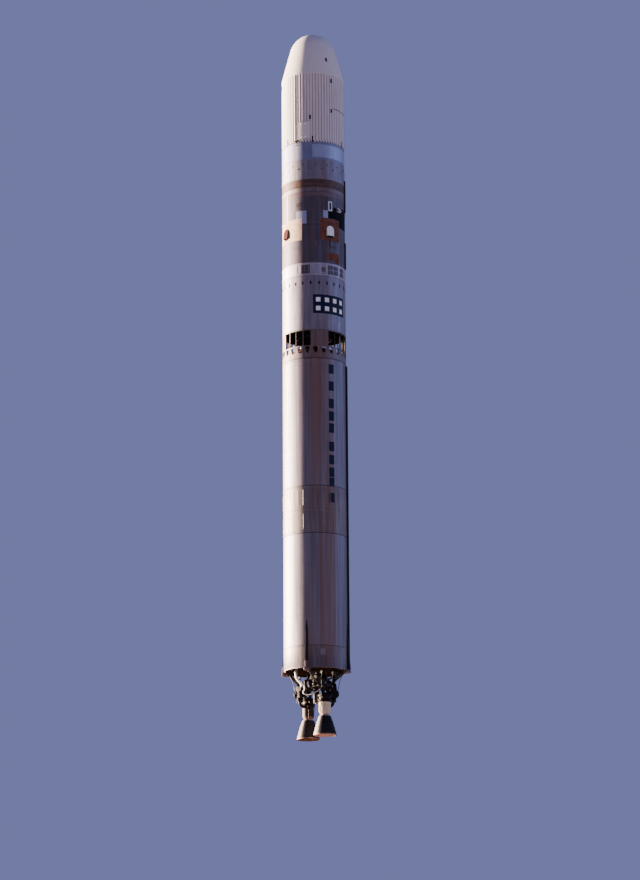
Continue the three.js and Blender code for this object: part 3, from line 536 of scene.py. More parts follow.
class Finish(Enum):
    """The finishes of the rocket, each with the material that it stands for."""

    TANK = SheetAluminium("rolled_aluminium_tank", "86818a", "665f68", "7e5a4c")
    FRAMED = SheetAluminium("riveted_aluminium_skin", "857c7c", "625a60", "735145", 0.54, 0.8,
                            (90.0, 90.0, 1500.0))
    UPPER = SheetAluminium("rolled_aluminium_upper", "69626a", "4e4952", "5a423b", 0.54, 0.75,
                           (120.0, 120.0, 1900.0))
    SKIRT = SheetAluminium("rolled_aluminium_skirt", "928d97", "6f6a76", "7e6662", 0.52, 0.7,
                           (120.0, 120.0, 1500.0))
    ADAPTER = SheetAluminium("clear_coated_aluminium", "adb0c2", "969aae", "9496a6", 0.5, 0.4,
                             (200.0, 200.0, 900.0))
    DULLED = SheetAluminium("dulled_adapter_aluminium", "8c8fa6", "747790", "6e6e80", 0.54, 0.4,
                            (200.0, 200.0, 900.0))
    RING = SheetAluminium("etched_ring_aluminium", "b4acb8", "8c8694", "8a7470", 0.54, 0.6,
                          (120.0, 120.0, 900.0))
    STRIP = SheetAluminium("joint_strip_aluminium", "57515a", "47424b", "46342f", 0.55, 0.6)
    INNER = SheetAluminium("heat_tanned_inner_skin", "9a6a49", "5d3a28", "3d2418", 0.6, 0.8)
    LINING = SatinPaint("black_inner_lining", "241c1a", "141010", 0.4, 0.7, 0.1)
    WELD = MachinedMetal("weld_bead_aluminium", "98949a", "6b6068", 0.5, 0.3)
    PALE = SatinPaint("pale_grey_enamel", "b9c1d0", "77726c", 0.3)
    FAIRING = FlutedEnamel("cream_fairing_enamel")
    SEAL = SatinPaint("grey_door_seal", "8a8280", "5a5450", 0.3)
    WHITE = SatinPaint("white_enamel", "eceae6", "8d8377", 0.3)
    NAVY = SatinPaint("navy_marking_enamel", "0d1430", "222740", 0.3, 0.5, 0.15)
    BLACK = SatinPaint("black_enamel", "08080b", "1a181c", 0.3, 0.6, 0.08)
    LINE = SatinPaint("dark_grey_enamel", "17181e", "2c292b", 0.4, 0.55, 0.15)
    OXIDE = SatinPaint("red_oxide_primer", "3e1210", "1e0b0a", 0.5, 0.6, shine=0.05)
    BRONZE = AblativeCoating("bronze_phenolic_coating", "5e4236", "372828")
    BROWN = AblativeCoating("brown_phenolic_wash", "6f5a5a", "524247")
    CORK = CorkSheet("granulated_cork_sheet", "764a3c", "4c2c24")
    # The same cork made paler, for the panel on the sunlit side: painted light
    TAN = CorkSheet("pale_cork_sheet", "dcc4ae", "b4967e")
    CLOTH = GlassClothBlanket("glass_cloth_blanket", "cdb998", "8f7758")
    # Near-black metal, dark enough that its faces in the key light stay dark
    WRAP = MachinedMetal("near_black_metal_wrap", "1b171a", "0f0c0e", 0.62, 0.8)
    BRIGHT = MachinedMetal("machined_steel", "b9b3aa", "6a5a4c", 0.4)
    DARK_METAL = MachinedMetal("heat_darkened_casting", "1e1a1c", "120e0e", 0.56, 0.8)
    # Salmon liner made lighter than the coat itself so that the front bell's mouth looks lit: painted light
    LINER = SatinPaint("salmon_zirconia_liner", "dca58c", "9a6450", 0.5, 0.5)
    EDGE = MachinedMetal("straw_tinted_steel_edge", "8f6a58", "553a30", 0.5, 0.6)
    NECK = MachinedMetal("dull_nickel_neck", "b7a5a6", "8a7678", 0.55, 0.5)
    STEEL = MachinedMetal("dull_forged_steel", "4c4540", "2a2320", 0.55, 0.7)
    TUBE = WeldedTubeSteel("primed_tube_steel", "171416", "261b17", "35302c")
    HOSE = BraidedHose("braided_hose")
    # The bells and the rear blanket are painted lighter on their side towards the key light, as painted
    # light; on the upper bell that colour is as dark as its tints
    BELL_FRONT = ScorchedBell("scorched_bell_front", (0.0, -0.82), -1.2, -2.96)
    BELL_REAR = ScorchedBell("scorched_bell_rear", (0.0, 0.82), -1.2, -2.96)
    UPPER_BELL = ScorchedBell("upper_bell_tubes", (0.0, 0.0), 18.2, 16.32, 150, "1a171a")
    REAR_WRAP = ScorchedBell("ribbed_rear_wrap", (0.0, 0.82), -1.4, -1.9, 36, "8e7f76")
    FLOOR = StudioFloor()


# Shape helpers


def around(radius: float, azimuth: float, z: float = 0.0) -> Vector:
    """Gives the point at a radius, an azimuth in degrees and a height."""
    turn = radians(azimuth)
    return Vector((radius * sin(turn), -radius * cos(turn), z))


def evenly(start: float, end: float, steps: int) -> list[float]:
    """Gives the numbers from start to end in equal steps."""
    return [start + (end - start) * index / steps for index in range(steps + 1)]


def arc(middle: Point, radii: Point, first: float, last: float, steps: int) -> list[Point]:
    """Gives points along a round or oval curve; its angles are in degrees up from level."""
    turns = [radians(angle) for angle in evenly(first, last, steps)]
    return [(middle[0] + radii[0] * cos(turn), middle[1] + radii[1] * sin(turn)) for turn in turns]


def everything(mesh: Mesh) -> list:
    """Gives all points, edges and faces of a mesh."""
    return [*mesh.verts, *mesh.edges, *mesh.faces]


def tidy(mesh: Mesh) -> Mesh:
    """Merges a mesh's doubled points and turns every face outwards.

    Args:
        mesh: The mesh that is changed.

    Returns:
        The same mesh.
    """
    bmesh.ops.remove_doubles(mesh, verts=mesh.verts, dist=1e-5)
    bmesh.ops.dissolve_degenerate(mesh, edges=mesh.edges, dist=1e-6)
    bmesh.ops.recalc_face_normals(mesh, faces=mesh.faces)
    return mesh


def rounded(mesh: Mesh, edges: list[bmesh.types.BMEdge], width: float, segments: int = 2) -> Mesh:
    """Rounds edges of a mesh off by a width."""
    bmesh.ops.bevel(mesh, geom=edges, offset=width, segments=segments, profile=0.5, affect="EDGES",
                    material=-1)
    return mesh


def creases(mesh: Mesh, angle: float) -> list[bmesh.types.BMEdge]:
    """Gives the edges whose two faces meet at more than an angle in radians."""
    return [edge for edge in mesh.edges if edge.calc_face_angle(0.0) > angle]


def on_skin(*places: Point) -> list[Point]:
    """Turns places, given by how far they stand proud of the body and their height, into an outline."""
    return [(BODY_R + proud, z) for proud, z in places]


def lathe(outline: Sequence[Point], steps: int = BODY_STEPS, start: float = 0.0, span: float = 360.0,
          looped: bool = False) -> Mesh:
    """Turns an outline of radius and height round the Z axis.

    Args:
        outline: Points as radius and height.
        steps: Facets round the whole span.
        start: Azimuth of the first edge.
        span: Degrees that the outline is turned through.
        looped: Whether the outline closes on itself.

    Returns:
        A skin that is closed where the outline is; a part turn is closed at both ends.
    """
    mesh = bmesh.new()
    verts = [mesh.verts.new(around(radius, start, z)) for radius, z in outline]
    whole = span >= 360.0
    if whole:
        pairs = list(zip(verts, verts[1:], strict=False)) + ([(verts[-1], verts[0])] if looped else [])
        geometry = verts + [mesh.edges.new(pair) for pair in pairs]
    else:
        geometry = verts + list(mesh.faces.new(verts).edges) + list(mesh.faces)
    bmesh.ops.spin(mesh, geom=geometry, cent=(0, 0, 0), axis=UP, dvec=(0, 0, 0), angle=radians(span),
                   steps=steps, use_merge=whole, use_normal_flip=False, use_duplicate=False)
    return tidy(mesh)


def hoop(low: float, high: float, outer: float, inner: float, steps: int = BODY_STEPS, chamfer: float = 0.0,
         start: float = 0.0, span: float = 360.0) -> Mesh:
    """Makes a ring, or a curved plate, with its outer corners taken off.

    Args:
        low: Height of its foot.
        high: Height of its head.
        outer: Outer radius.
        inner: Inner radius.
        steps: Facets round the whole span.
        chamfer: What is taken off the outer corners.
        start: Azimuth of its first end.
        span: Degrees that it reaches round.

    Returns:
        The closed ring or plate.
    """
    if chamfer > 0.0:
        outside = [(outer - chamfer, low), (outer, low + chamfer), (outer, high - chamfer),
                   (outer - chamfer, high)]
    else:
        outside = [(outer, low), (outer, high)]
    return lathe([(inner, low), *outside, (inner, high)], steps, start, span, looped=True)


def hoops(heights: Iterable[float], width: float, outer: float, inner: float,
          steps: int = BODY_STEPS) -> Mesh:
    """Makes equal rings at several heights of their middles."""
    return gather(hoop(z - width / 2, z + width / 2, outer, inner, steps) for z in heights)


def block(size: Spot, centre: Sequence[float] = (0.0, 0.0, 0.0), bevel: float = 0.0,
          corner: float = 0.0) -> Mesh:
    """Makes a block with softened edges.

    Args:
        size: Lengths along X, Y and Z.
        centre: Its middle.
        bevel: Width of the softening on every edge.
        corner: Radius of the four edges that run along Y, for a plate on a wall.

    Returns:
        The closed block.
    """
    mesh = bmesh.new()
    bmesh.ops.create_cube(mesh, size=1.0, matrix=Matrix.Translation(centre) @ Matrix.Diagonal((*size, 1.0)))
    if corner > 0.0:
        edges = [e for e in mesh.edges if abs((e.verts[0].co - e.verts[1].co).normalized().y) > 0.9]
        rounded(mesh, edges, corner, 4)
    if bevel > 0.0:
        rounded(mesh, creases(mesh, 0.9), bevel)
    return mesh


def drum(radius: float, length: float, centre: Sequence[float] = (0.0, 0.0, 0.0), along: Sequence[float] = UP,
         sides: int = 32, bevel: float = 0.0, end_radius: float | None = None) -> Mesh:
    """Makes a round bar, or a cone.

    Args:
        radius: Its radius at the near end.
        length: Its length.
        centre: Its middle.
        along: The direction of its axis.
        sides: Facets round it.
        bevel: Width of the softening on its rims.
        end_radius: Its radius at the far end, if that is another.

    Returns:
        The closed bar.
    """
    mesh = bmesh.new()
    turn = UP.rotation_difference(Vector(along)).to_matrix().to_4x4()
    last = radius if end_radius is None else end_radius
    bmesh.ops.create_cone(mesh, cap_ends=True, segments=sides, radius1=radius, radius2=last, depth=length,
                          matrix=Matrix.Translation(centre) @ turn)
    return rounded(mesh, creases(mesh, 1.0), bevel) if bevel > 0.0 else mesh


def rod(start: Sequence[float], end: Sequence[float], radius: float, sides: int = 20) -> Mesh:
    """Makes a round bar between two points."""
    first, last = Vector(start), Vector(end)
    return drum(radius, (last - first).length, (first + last) / 2, (last - first).normalized(), sides)


def tube(points: Sequence[Sequence[float]], radius: float, resolution: int = 6, sides: int = 4) -> Mesh:
    """Makes a bent pipe with closed ends through the points.

    Args:
        points: Places that the middle line runs through.
        radius: Radius of the pipe.
        resolution: Steps between two points.
        sides: Quarter steps of the round section.

    Returns:
        The pipe's mesh.
    """
    curve = bpy.data.curves.new("pipe", "CURVE")
    curve.dimensions = "3D"
    curve.bevel_depth = radius
    curve.bevel_resolution = sides
    curve.resolution_u = resolution
    curve.use_fill_caps = True
    line = curve.splines.new("BEZIER")
    line.bezier_points.add(len(points) - 1)
    for knot, place in zip(line.bezier_points, points, strict=True):
        knot.co = place
        knot.handle_left_type = knot.handle_right_type = "AUTO"
    holder = bpy.data.objects.new("pipe", curve)
    mesh = bmesh.new()
    mesh.from_mesh(holder.to_mesh())
    holder.to_mesh_clear()
    bpy.data.objects.remove(holder)
    bpy.data.curves.remove(curve)
    return tidy(mesh)


def gather(parts: Iterable[Mesh]) -> Mesh:
    """Puts several meshes into one and frees them.

    Args:
        parts: The meshes.

    Returns:
        One mesh with all of them.
    """
    whole = bmesh.new()
    for part in parts:
        data = bpy.data.meshes.new("part")
        part.to_mesh(data)
        part.free()
        whole.from_mesh(data)
        bpy.data.meshes.remove(data)
    return whole


def moved(mesh: Mesh, matrix: Matrix) -> Mesh:
    """Moves a whole mesh by a matrix."""
    bmesh.ops.transform(mesh, matrix=matrix, verts=mesh.verts)
    return mesh


def shifted(mesh: Mesh, x: float, y: float, z: float) -> Mesh:
    """Shifts a whole mesh without turning it."""
    return moved(mesh, Matrix.Translation((x, y, z)))


def turned(mesh: Mesh, azimuth: float) -> Mesh:
    """Turns a mesh round the long axis."""
    return moved(mesh, Matrix.Rotation(radians(azimuth), 4, "Z"))


def all_round(mesh: Mesh, count: int) -> Mesh:
    """Repeats a mesh round the long axis in equal steps."""
    bmesh.ops.spin(mesh, geom=everything(mesh), cent=(0, 0, 0), axis=UP, dvec=(0, 0, 0), steps=count - 1,
                   angle=tau * (count - 1) / count, use_duplicate=True, use_merge=False,
                   use_normal_flip=False)
    return mesh


def doubled(outline: Sequence[Point], y: float) -> tuple[Mesh, list[bmesh.types.BMVert]]:
    """Makes an upright sheet as a closed box without any depth.

    Args:
        outline: The sheet's points as X and Z.
        y: Where it stands.

    Returns:
        The mesh, and the points of its far side, which are to be moved away.
    """
    mesh = bmesh.new()
    face = mesh.faces.new([mesh.verts.new((x, y, z)) for x, z in outline])
    made = bmesh.ops.extrude_face_region(mesh, geom=[face])
    return mesh, [v for v in made["geom"] if isinstance(v, bmesh.types.BMVert)]


def wrapped(mesh: Mesh, azimuth: float, radius: float = BODY_R, step: float = 0.06) -> Mesh:
    """Bends a mesh made on the flat wall y = 0, facing -Y, round the body.

    Args:
        mesh: A mesh with X along the wall and -Y outwards.
        azimuth: Where its x = 0 comes to lie.
        radius: Radius of the wall.
        step: Widest facet along the bend.

    Returns:
        The same mesh, cut into strips and bent.
    """
    last = int(max(abs(v.co.x) for v in mesh.verts) / step)
    for index in range(-last, last + 1):
        place = (index * step, 0, 0)
        bmesh.ops.bisect_plane(mesh, geom=everything(mesh), dist=1e-6, plane_co=place, plane_no=(1, 0, 0))
    for vert in mesh.verts:
        x, y, z = vert.co
        vert.co = around(radius - y, azimuth + degrees(x / radius), z)
    return mesh


def plate(azimuth: float, z: float, width: float, height: float, proud: float = 0.004,
          corner: float = 0.02) -> Mesh:
    """Makes a plate with round corners that lies on the body's skin.

    Args:
        azimuth: Its middle round the body.
        z: Height of its middle.
        width: Its length along the skin.
        height: Its length up the skin.
        proud: How far it stands off the skin.
        corner: Radius of its corners.

    Returns:
        The closed plate.
    """
    sunk = 0.003
    return wrapped(block((width, proud + sunk, height), (0.0, (sunk - proud) / 2, z), corner=corner), azimuth)


def frame_plate(azimuth: float, z: float, width: float, height: float, border: float, proud: float) -> Mesh:
    """Makes a raised frame round a rectangular place on the skin.

    Args:
        azimuth: Its middle round the body.
        z: Height of its middle.
        width: Its outer length along the skin.
        height: Its outer length up the skin.
        border: Width of its four bars.
        proud: How far it stands off the skin.

    Returns:
        The four bars.
    """
    bars = []
    for sign in (1, -1):
        bars.append(block((width, proud, border), (0.0, -proud / 2, z + sign * (height - border) / 2)))
        bars.append(block((border, proud, height - 2 * border), (sign * (width - border) / 2, -proud / 2, z)))
    return gather(wrapped(bar, azimuth) for bar in bars)


def rivet_ring(z: float, count: int = RIVET_COUNT, radius: float = BODY_R, head: float = 0.009) -> Mesh:
    """Makes a row of domed rivet heads round the body."""
    return all_round(drum(head, 0.006, around(radius + 0.002, 0.0, z), OUTWARD, 6, end_radius=head * 0.6),
                     count)


def rivet_rows(heights: Iterable[float], count: int = RIVET_COUNT) -> Mesh:
    """Makes rows of rivets at several heights."""
    return gather(rivet_ring(z, count) for z in heights)


def bolt_circle(radius: float, z: float, count: int, head: float = 0.012, tall: float = 0.014) -> Mesh:
    """Makes a circle of hexagonal bolt heads that face up or down."""
    return all_round(drum(head, tall, around(radius, 0.0, z), sides=6), count)


def shown(name: str, data: bpy.types.ID) -> bpy.types.Object:
    """Makes an object from its data and puts it into the scene.

    Args:
        name: The object's name.
        data: Its mesh, light or camera.

    Returns:
        The object.
    """
    made = bpy.data.objects.new(name, data)
    bpy.context.scene.collection.objects.link(made)
    return made


def cut_away(body: Mesh, tool: Mesh) -> Mesh:
    """Cuts one closed mesh out of another.

    Args:
        body: The mesh that is cut.
        tool: The space that goes.

    Returns:
        The mesh that is left.
    """
    holders = []
    for part in (body, tool):
        data = bpy.data.meshes.new("cut")
        part.to_mesh(data)
        part.free()
        holders.append(shown("cut", data))
    modifier = holders[0].modifiers.new("cut", "BOOLEAN")
    modifier.object = holders[1]
    modifier.operation = "DIFFERENCE"
    modifier.solver = "EXACT"
    mesh = bmesh.new()
    mesh.from_mesh(holders[0].evaluated_get(bpy.context.evaluated_depsgraph_get()).to_mesh())
    for holder in holders:
        data = holder.data
        bpy.data.objects.remove(holder)
        bpy.data.meshes.remove(data)
    return mesh


# Frame and pieces


@dataclass
class Workshop:
    """Puts finished pieces into the frame and dresses CAD nodes, and builds each material once."""

    frame: dict
    coats: dict[Finish, bpy.types.Material] = field(default_factory=dict)
    pieces: int = 0
    triangles: int = 0

    def coat(self, finish: Finish) -> bpy.types.Material:
        """Gives the material of a finish.

        Args:
            finish: The finish.

        Returns:
            Its material, built at the first call.
        """
        if finish not in self.coats:
            self.coats[finish] = finish.value.build()
        return self.coats[finish]

    def add(self, name: str, mesh: Mesh, finish: Finish, body: str = AIRFRAME, replaces: Sequence[str] = (),
            sharp: float = 32.0) -> None:
        """Makes a piece of the rocket from a mesh.

        Args:
            name: The piece's name.
            mesh: Its shape at rest, which is freed.
            finish: What it is coated with.
            body: The moving body that carries it.
            replaces: Frame nodes that it stands for.
            sharp: Angle in degrees above which an edge stays crisp.
        """
        data = bpy.data.meshes.new(name)
        mesh.to_mesh(data)
        mesh.free()
        data.materials.append(self.coat(finish))
        data.shade_smooth()
        data.set_sharp_from_angle(angle=radians(sharp))
        made = shown(name, data)
        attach(made, body)
        if replaces:
            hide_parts(*replaces)
        faces = sum(len(polygon.vertices) - 2 for polygon in data.polygons)
        self.pieces += 1
        self.triangles += faces
        LOG.info("%s: %d triangles on %s", name, faces, body)

    def softened(self, node: str, bevel: float) -> Mesh:
        """Copies a node's solid with its points merged, its flat faces joined and its edges softened.

        Args:
            node: The frame node that is copied.
            bevel: Width of the softening.

        Returns:
            The copy.
        """
        mesh = bmesh.new()
        mesh.from_mesh(self.frame["nodes"][node].data)
        bmesh.ops.remove_doubles(mesh, verts=mesh.verts, dist=2e-5)
        bmesh.ops.dissolve_limit(mesh, angle_limit=radians(1.0), verts=mesh.verts, edges=mesh.edges)
        return rounded(mesh, creases(mesh, 0.85), bevel)


@dataclass
class Assembly:
    """A part of the rocket, or of the studio, that is made in the workshop."""

    shop: Workshop

    @property
    def add(self) -> Callable[..., None]:
        """Gives the workshop's way of adding a piece."""
        return self.shop.add


def section(node: str) -> Point:
    """Gives the lowest and highest height of a node."""
    low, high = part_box(node)
    return low.z, high.z


# Body sections


@dataclass(frozen=True)
class Band:
    """A ring round the body: the height of its middle, its width and how far it stands proud."""

    z: float
    width: float
    proud: float


@dataclass(frozen=True)
class Stringers:
    """Upright stiffeners on the outside of a section."""

    low: float
    high: float
    count: int
    width: float
    proud: float


@dataclass(frozen=True)
class SkinPlan:
    """What a closed section of the body looks like."""

    node: str
    finish: Finish
    bands: tuple[Band, ...] = ()
    rivets: tuple[float, ...] = ()
    welds: tuple[float, ...] = ()
    stringers: tuple[Stringers, ...] = ()
    lower_dome: float = 0.0
    upper_dome: float = 0.0
    # The name of the coat on its dome, where that shows
    lining: str = ""


TANK_WELDS = (-86.0, 66.0, 128.0, 148.5, 202.0, 246.0)
UPPER_WELDS = (-84.0, 66.0, 126.0, 216.0)

SKIN_PLANS = (
    SkinPlan("fuel_tank", Finish.TANK,
             (Band(2.62, 0.05, 0.003), Band(3.95, 0.05, 0.003), Band(5.25, 0.05, 0.003)), (1.22, 6.47),
             TANK_WELDS, lower_dome=0.6, lining="fuel_dome_lining"),
    SkinPlan("between_tanks", Finish.FRAMED,
             (Band(6.62, 0.07, 0.012), Band(7.66, 0.09, 0.01), Band(8.76, 0.07, 0.012)),
             (6.68, 7.56, 7.76, 8.69), (),
             (Stringers(6.74, 7.46, 36, 0.034, 0.005), Stringers(7.86, 8.62, 36, 0.05, 0.007))),
    SkinPlan("oxidiser_tank", Finish.TANK,
             (Band(10.1, 0.05, 0.003), Band(11.75, 0.05, 0.003), Band(13.4, 0.05, 0.003),
              Band(14.98, 0.1, 0.01)),
             (8.9, 14.9), TANK_WELDS, upper_dome=0.85, lining="oxidiser_dome_lining"),
    SkinPlan("upper_fuel_tank", Finish.SKIRT, (Band(19.1, 0.06, 0.004),), (18.66, 19.15), UPPER_WELDS,
             lower_dome=0.33),
    SkinPlan("pale_ring", Finish.RING, (Band(19.24, 0.06, 0.012), Band(19.77, 0.06, 0.012)), (19.3, 19.71),
             (), (Stringers(19.33, 19.68, 48, 0.02, 0.008),)),
    SkinPlan("equipment_section", Finish.UPPER, (Band(20.6, 0.05, 0.005), Band(21.66, 0.05, 0.008)),
             (19.9, 20.54, 20.66, 21.6)),
    SkinPlan("upper_oxidiser_tank", Finish.UPPER, (Band(21.79, 0.06, 0.006),), (21.86, 23.56), UPPER_WELDS),
    SkinPlan("bronze_band", Finish.BRONZE, (Band(23.67, 0.05, 0.006),)),
    SkinPlan("forward_skirt", Finish.SKIRT, (Band(24.1, 0.05, 0.008), Band(24.42, 0.04, 0.004)),
             (24.16, 24.98)),
    SkinPlan("payload_adapter", Finish.DULLED, (Band(25.1, 0.05, 0.005), Band(25.9, 0.08, 0.008)),
             (25.17, 25.84)),
)


def weld_land(azimuth: float, middle: float, length: float) -> Mesh:
    """Makes one upright weld land on the skin."""
    return plate(azimuth, middle, 0.034, length, 0.0025, 0.01)


def inner_coat(low: float, high: float) -> Mesh:
    """Makes the thin coat on the inside of a hollow skirt's wall."""
    return hoop(low, high, INNER_R + 0.004, INNER_R - 0.004)


@dataclass
class ClosedSections(Assembly):
    """The tanks and the closed rings between them."""

    groove: float = 0.006
    # How far the weld lands stop short of a tank's foot and head
    weld_gaps: Point = (0.1, 0.18)
    dome_r: float = BODY_R - 0.06
    dome_steps: int = 12
    lining_thick: float = 0.004
    # Columns: height, width of the dark strip over each joint between sections
    strips: tuple[Point, ...] = ((1.16, 0.04), (6.52, 0.05), (8.8, 0.05), (15.04, 0.06), (21.73, 0.035))

    def outline(self, plan: SkinPlan) -> list[Point]:
        """Gives the outline of a section with its domes, joint grooves and rings.

        Args:
            plan: What the section looks like.

        Returns:
            Points from the axis at its foot, over the skin, to the axis at its head.
        """
        low, high = section(plan.node)
        base, top = low + plan.lower_dome, high - plan.upper_dome
        points: list[Point] = [(0.0, low)]
        if plan.lower_dome:
            points += arc((0.0, base), (self.dome_r, plan.lower_dome), -90.0, 0.0, self.dome_steps)[1:]
        points += [(BODY_R - self.groove, base), (BODY_R, base + self.groove)]
        for band in plan.bands:
            edge = band.width / 2
            rise = min(band.proud, edge / 2)
            points += [(BODY_R, band.z - edge), (BODY_R + band.proud, band.z - edge + rise),
                       (BODY_R + band.proud, band.z + edge - rise), (BODY_R, band.z + edge)]
        points += [(BODY_R, top - self.groove), (BODY_R - self.groove, top)]
        if plan.upper_dome:
            points += arc((0.0, top), (self.dome_r, plan.upper_dome), 0.0, 90.0, self.dome_steps)[:-1]
        return [*points, (0.0, high)]

    def build(self) -> None:
        """Builds every closed section."""
        for plan in SKIN_PLANS:
            node = plan.node
            self.add(f"{node}_skin", lathe(self.outline(plan)), plan.finish, replaces=[node])
            if plan.rivets:
                self.add(f"{node}_rivets", rivet_rows(plan.rivets), Finish.WELD)
            if plan.welds:
                self.add(f"{node}_welds", self.weld_lines(plan), Finish.WELD)
            for index, row in enumerate(plan.stringers, 1):
                self.add(f"{node}_stringers_{index}", self.stringer_row(row), plan.finish)
        for plan in SKIN_PLANS:
            if plan.lining:
                self.add(plan.lining, self.dome_lining(plan), Finish.INNER)
        strips = gather(hoops([z], width, BODY_R + 0.0015, BODY_R - 0.004) for z, width in self.strips)
        self.add("joint_strips", strips, Finish.STRIP)

    def dome_lining(self, plan: SkinPlan) -> Mesh:
        """Makes the thin coat on a tank's one dome.

        Args:
            plan: What the tank looks like.

        Returns:
            The closed coat.
        """
        low, high = section(plan.node)
        rise = plan.upper_dome - plan.lower_dome
        base = high - rise if rise > 0.0 else low - rise
        thick = self.lining_thick
        tall = rise + copysign(thick, rise)
        outer = arc((0.0, base), (self.dome_r + thick, tall), 90.0, 2.0, 16)
        inner = arc((0.0, base), (self.dome_r - thick, 2 * rise - tall), 90.0, 2.0, 16)
        return lathe([*outer, *reversed(inner)])

    def weld_lines(self, plan: SkinPlan) -> Mesh:
        """Makes the upright weld lands of a tank.

        Args:
            plan: What the tank looks like.

        Returns:
            All its lands.
        """
        low, high = section(plan.node)
        low, high = low + plan.lower_dome + self.weld_gaps[0], high - plan.upper_dome - self.weld_gaps[1]
        return gather(weld_land(azimuth, (low + high) / 2, high - low) for azimuth in plan.welds)

    def stringer_row(self, row: Stringers) -> Mesh:
        """Makes a row of upright stiffeners with sloped ends.

        Args:
            row: Where they stand, how many they are and their sizes.

        Returns:
            The whole row.
        """
        mesh = block((row.width, row.proud, row.high - row.low))
        front = [v for v in mesh.verts if v.co.y < 0]
        bmesh.ops.scale(mesh, vec=(0.6, 1.0, 0.96), verts=front)
        return all_round(shifted(mesh, 0.0, 0.002 - BODY_R - row.proud / 2, (row.low + row.high) / 2),
                         row.count)


@dataclass
class AftSkirt(Assembly):
    """The open skirt round the engines, its stiffeners, its longerons and its launch feet."""

    flange: float = 0.09
    # Columns: height of a row of rivets, how far its seat stands proud
    rivets: tuple[Point, ...] = ((0.26, 0.0), (0.42, 0.004), (0.74, 0.0), (1.11, 0.004))
    frames: tuple[float, ...] = (0.42, 0.74, 1.04)
    inner_stringers: int = 48
    # Columns: azimuth of a longeron, height up to which its foot is left bare; the one at 45 degrees, on the
    # shaded side, is dark almost to the ground, painting the shade on its foot
    longerons: tuple[Point, ...] = ((-45.0, 0.42), (45.0, 0.16), (135.0, 0.42), (-135.0, 0.45))
    longeron_width: float = 0.13
    longeron_top: float = 1.87
    flange_low: float = 0.16
    tip_top: float = 2.38
    # Degrees from a longeron's middle to its two rows of bolts
    bolt_lap: float = 3.6
    # Distances of the foot's bolts from the long axis
    foot_bolts: Spot = (1.4, 1.52, 1.6)
    door_azimuths: tuple[float, ...] = (-16.2, 74.0, 164.0, 254.0)
    door_z: float = 0.86
    door_size: Point = (0.24, 0.34)
    # Half width and half height of the oval of screws round a door
    screw_oval: Point = (0.1, 0.15)

    def build(self) -> None:
        """Builds the skirt and what is fixed to it."""
        low, high = section("aft_skirt")
        edge = BODY_R - self.flange
        outline = on_skin((-0.004, low), (0.006, low + 0.008), (0.006, low + 0.07), (0.0, low + 0.08),
                          (0.0, high - 0.07), (0.006, high - 0.064), (0.006, high - 0.006), (-0.004, high))
        outline += [(INNER_R, high), (INNER_R, low + 0.04), (edge, low + 0.04), (edge, low)]
        self.add("aft_skirt_skin", lathe(outline, looped=True), Finish.FRAMED, replaces=["aft_skirt"])
        self.add("aft_skirt_lining", inner_coat(low + 0.05, high - 0.01), Finish.INNER)
        self.add("aft_flange_face", hoop(low - 0.002, low + 0.004, BODY_R - 0.01, edge + 0.002),
                 Finish.LINING)
        rows = gather(rivet_ring(z, radius=BODY_R + proud) for z, proud in self.rivets)
        self.add("aft_skirt_rivets", rows, Finish.WELD)
        self.add("aft_skirt_frames", self.inner_frames(high), Finish.INNER)
        bolts = bolt_circle(BODY_R - self.flange / 2 - 0.01, low - 0.006, 96, 0.013, 0.012)
        self.add("aft_skirt_bolts", bolts, Finish.BRIGHT)
        self.access_doors()
        for number, (azimuth, foot_top) in enumerate(self.longerons, 1):
            self.longeron(number, azimuth, foot_top)

    def inner_frames(self, high: float) -> Mesh:
        """Makes the ring frames and hat stiffeners inside the skirt, in one piece.

        Args:
            high: Height of the skirt's head.

        Returns:
            All of them.
        """
        webs = hoops(self.frames, 0.012, INNER_R + 0.002, INNER_R - 0.07)
        caps = hoops(self.frames, 0.06, INNER_R - 0.062, INNER_R - 0.07)
        hat = block((0.03, 0.026, high - 0.2), (0.0, 0.012 - INNER_R, (high + 0.16) / 2 + 0.01))
        return gather([webs, caps, all_round(hat, self.inner_stringers)])

    def part_of(self, node: str, foot_top: float, above: bool) -> Mesh:
        """Copies a longeron's forging above its foot, or the foot alone.

        Args:
            node: The longeron's frame node.
            foot_top: Height at which it is cut.
            above: Whether the part above the cut is kept.

        Returns:
            The closed part.
        """
        mesh = self.shop.softened(node, 0.006)
        cut = bmesh.ops.bisect_plane(mesh, geom=everything(mesh), dist=1e-5, plane_co=(0, 0, foot_top),
                                     plane_no=UP, clear_outer=not above, clear_inner=above)
        rim = [e for e in cut["geom_cut"] if isinstance(e, bmesh.types.BMEdge)]
        bmesh.ops.holes_fill(mesh, edges=rim, sides=0)
        return tidy(mesh)

    def tip(self, azimuth: float) -> Mesh:
        """Makes the flat point that carries a longeron's line up onto the tank.

        Args:
            azimuth: The longeron's place round the body.

        Returns:
            The point.
        """
        height = self.tip_top - self.longeron_top
        middle = self.longeron_top + height / 2
        mesh = block((self.longeron_width, 0.012, height), (0.0, -0.004, middle + 0.002))
        for vert in mesh.verts:
            if vert.co.z > middle:
                vert.co.x *= 0.12
        return wrapped(mesh, azimuth)

    def access_doors(self) -> None:
        """Adds the oval access doors with their screws."""
        doors = [plate(azimuth, self.door_z, *self.door_size, 0.006, 0.11) for azimuth in self.door_azimuths]
        self.add("aft_doors", gather(doors), Finish.SKIRT)
        places = arc((0.0, self.door_z), self.screw_oval, 0.0, 360.0, 12)[:-1]
        screws = [wrapped(drum(0.008, 0.008, (x, -0.008, z), OUTWARD, 6), azimuth)
                  for azimuth in self.door_azimuths for x, z in places]
        self.add("aft_door_screws", gather(screws), Finish.DARK_METAL)

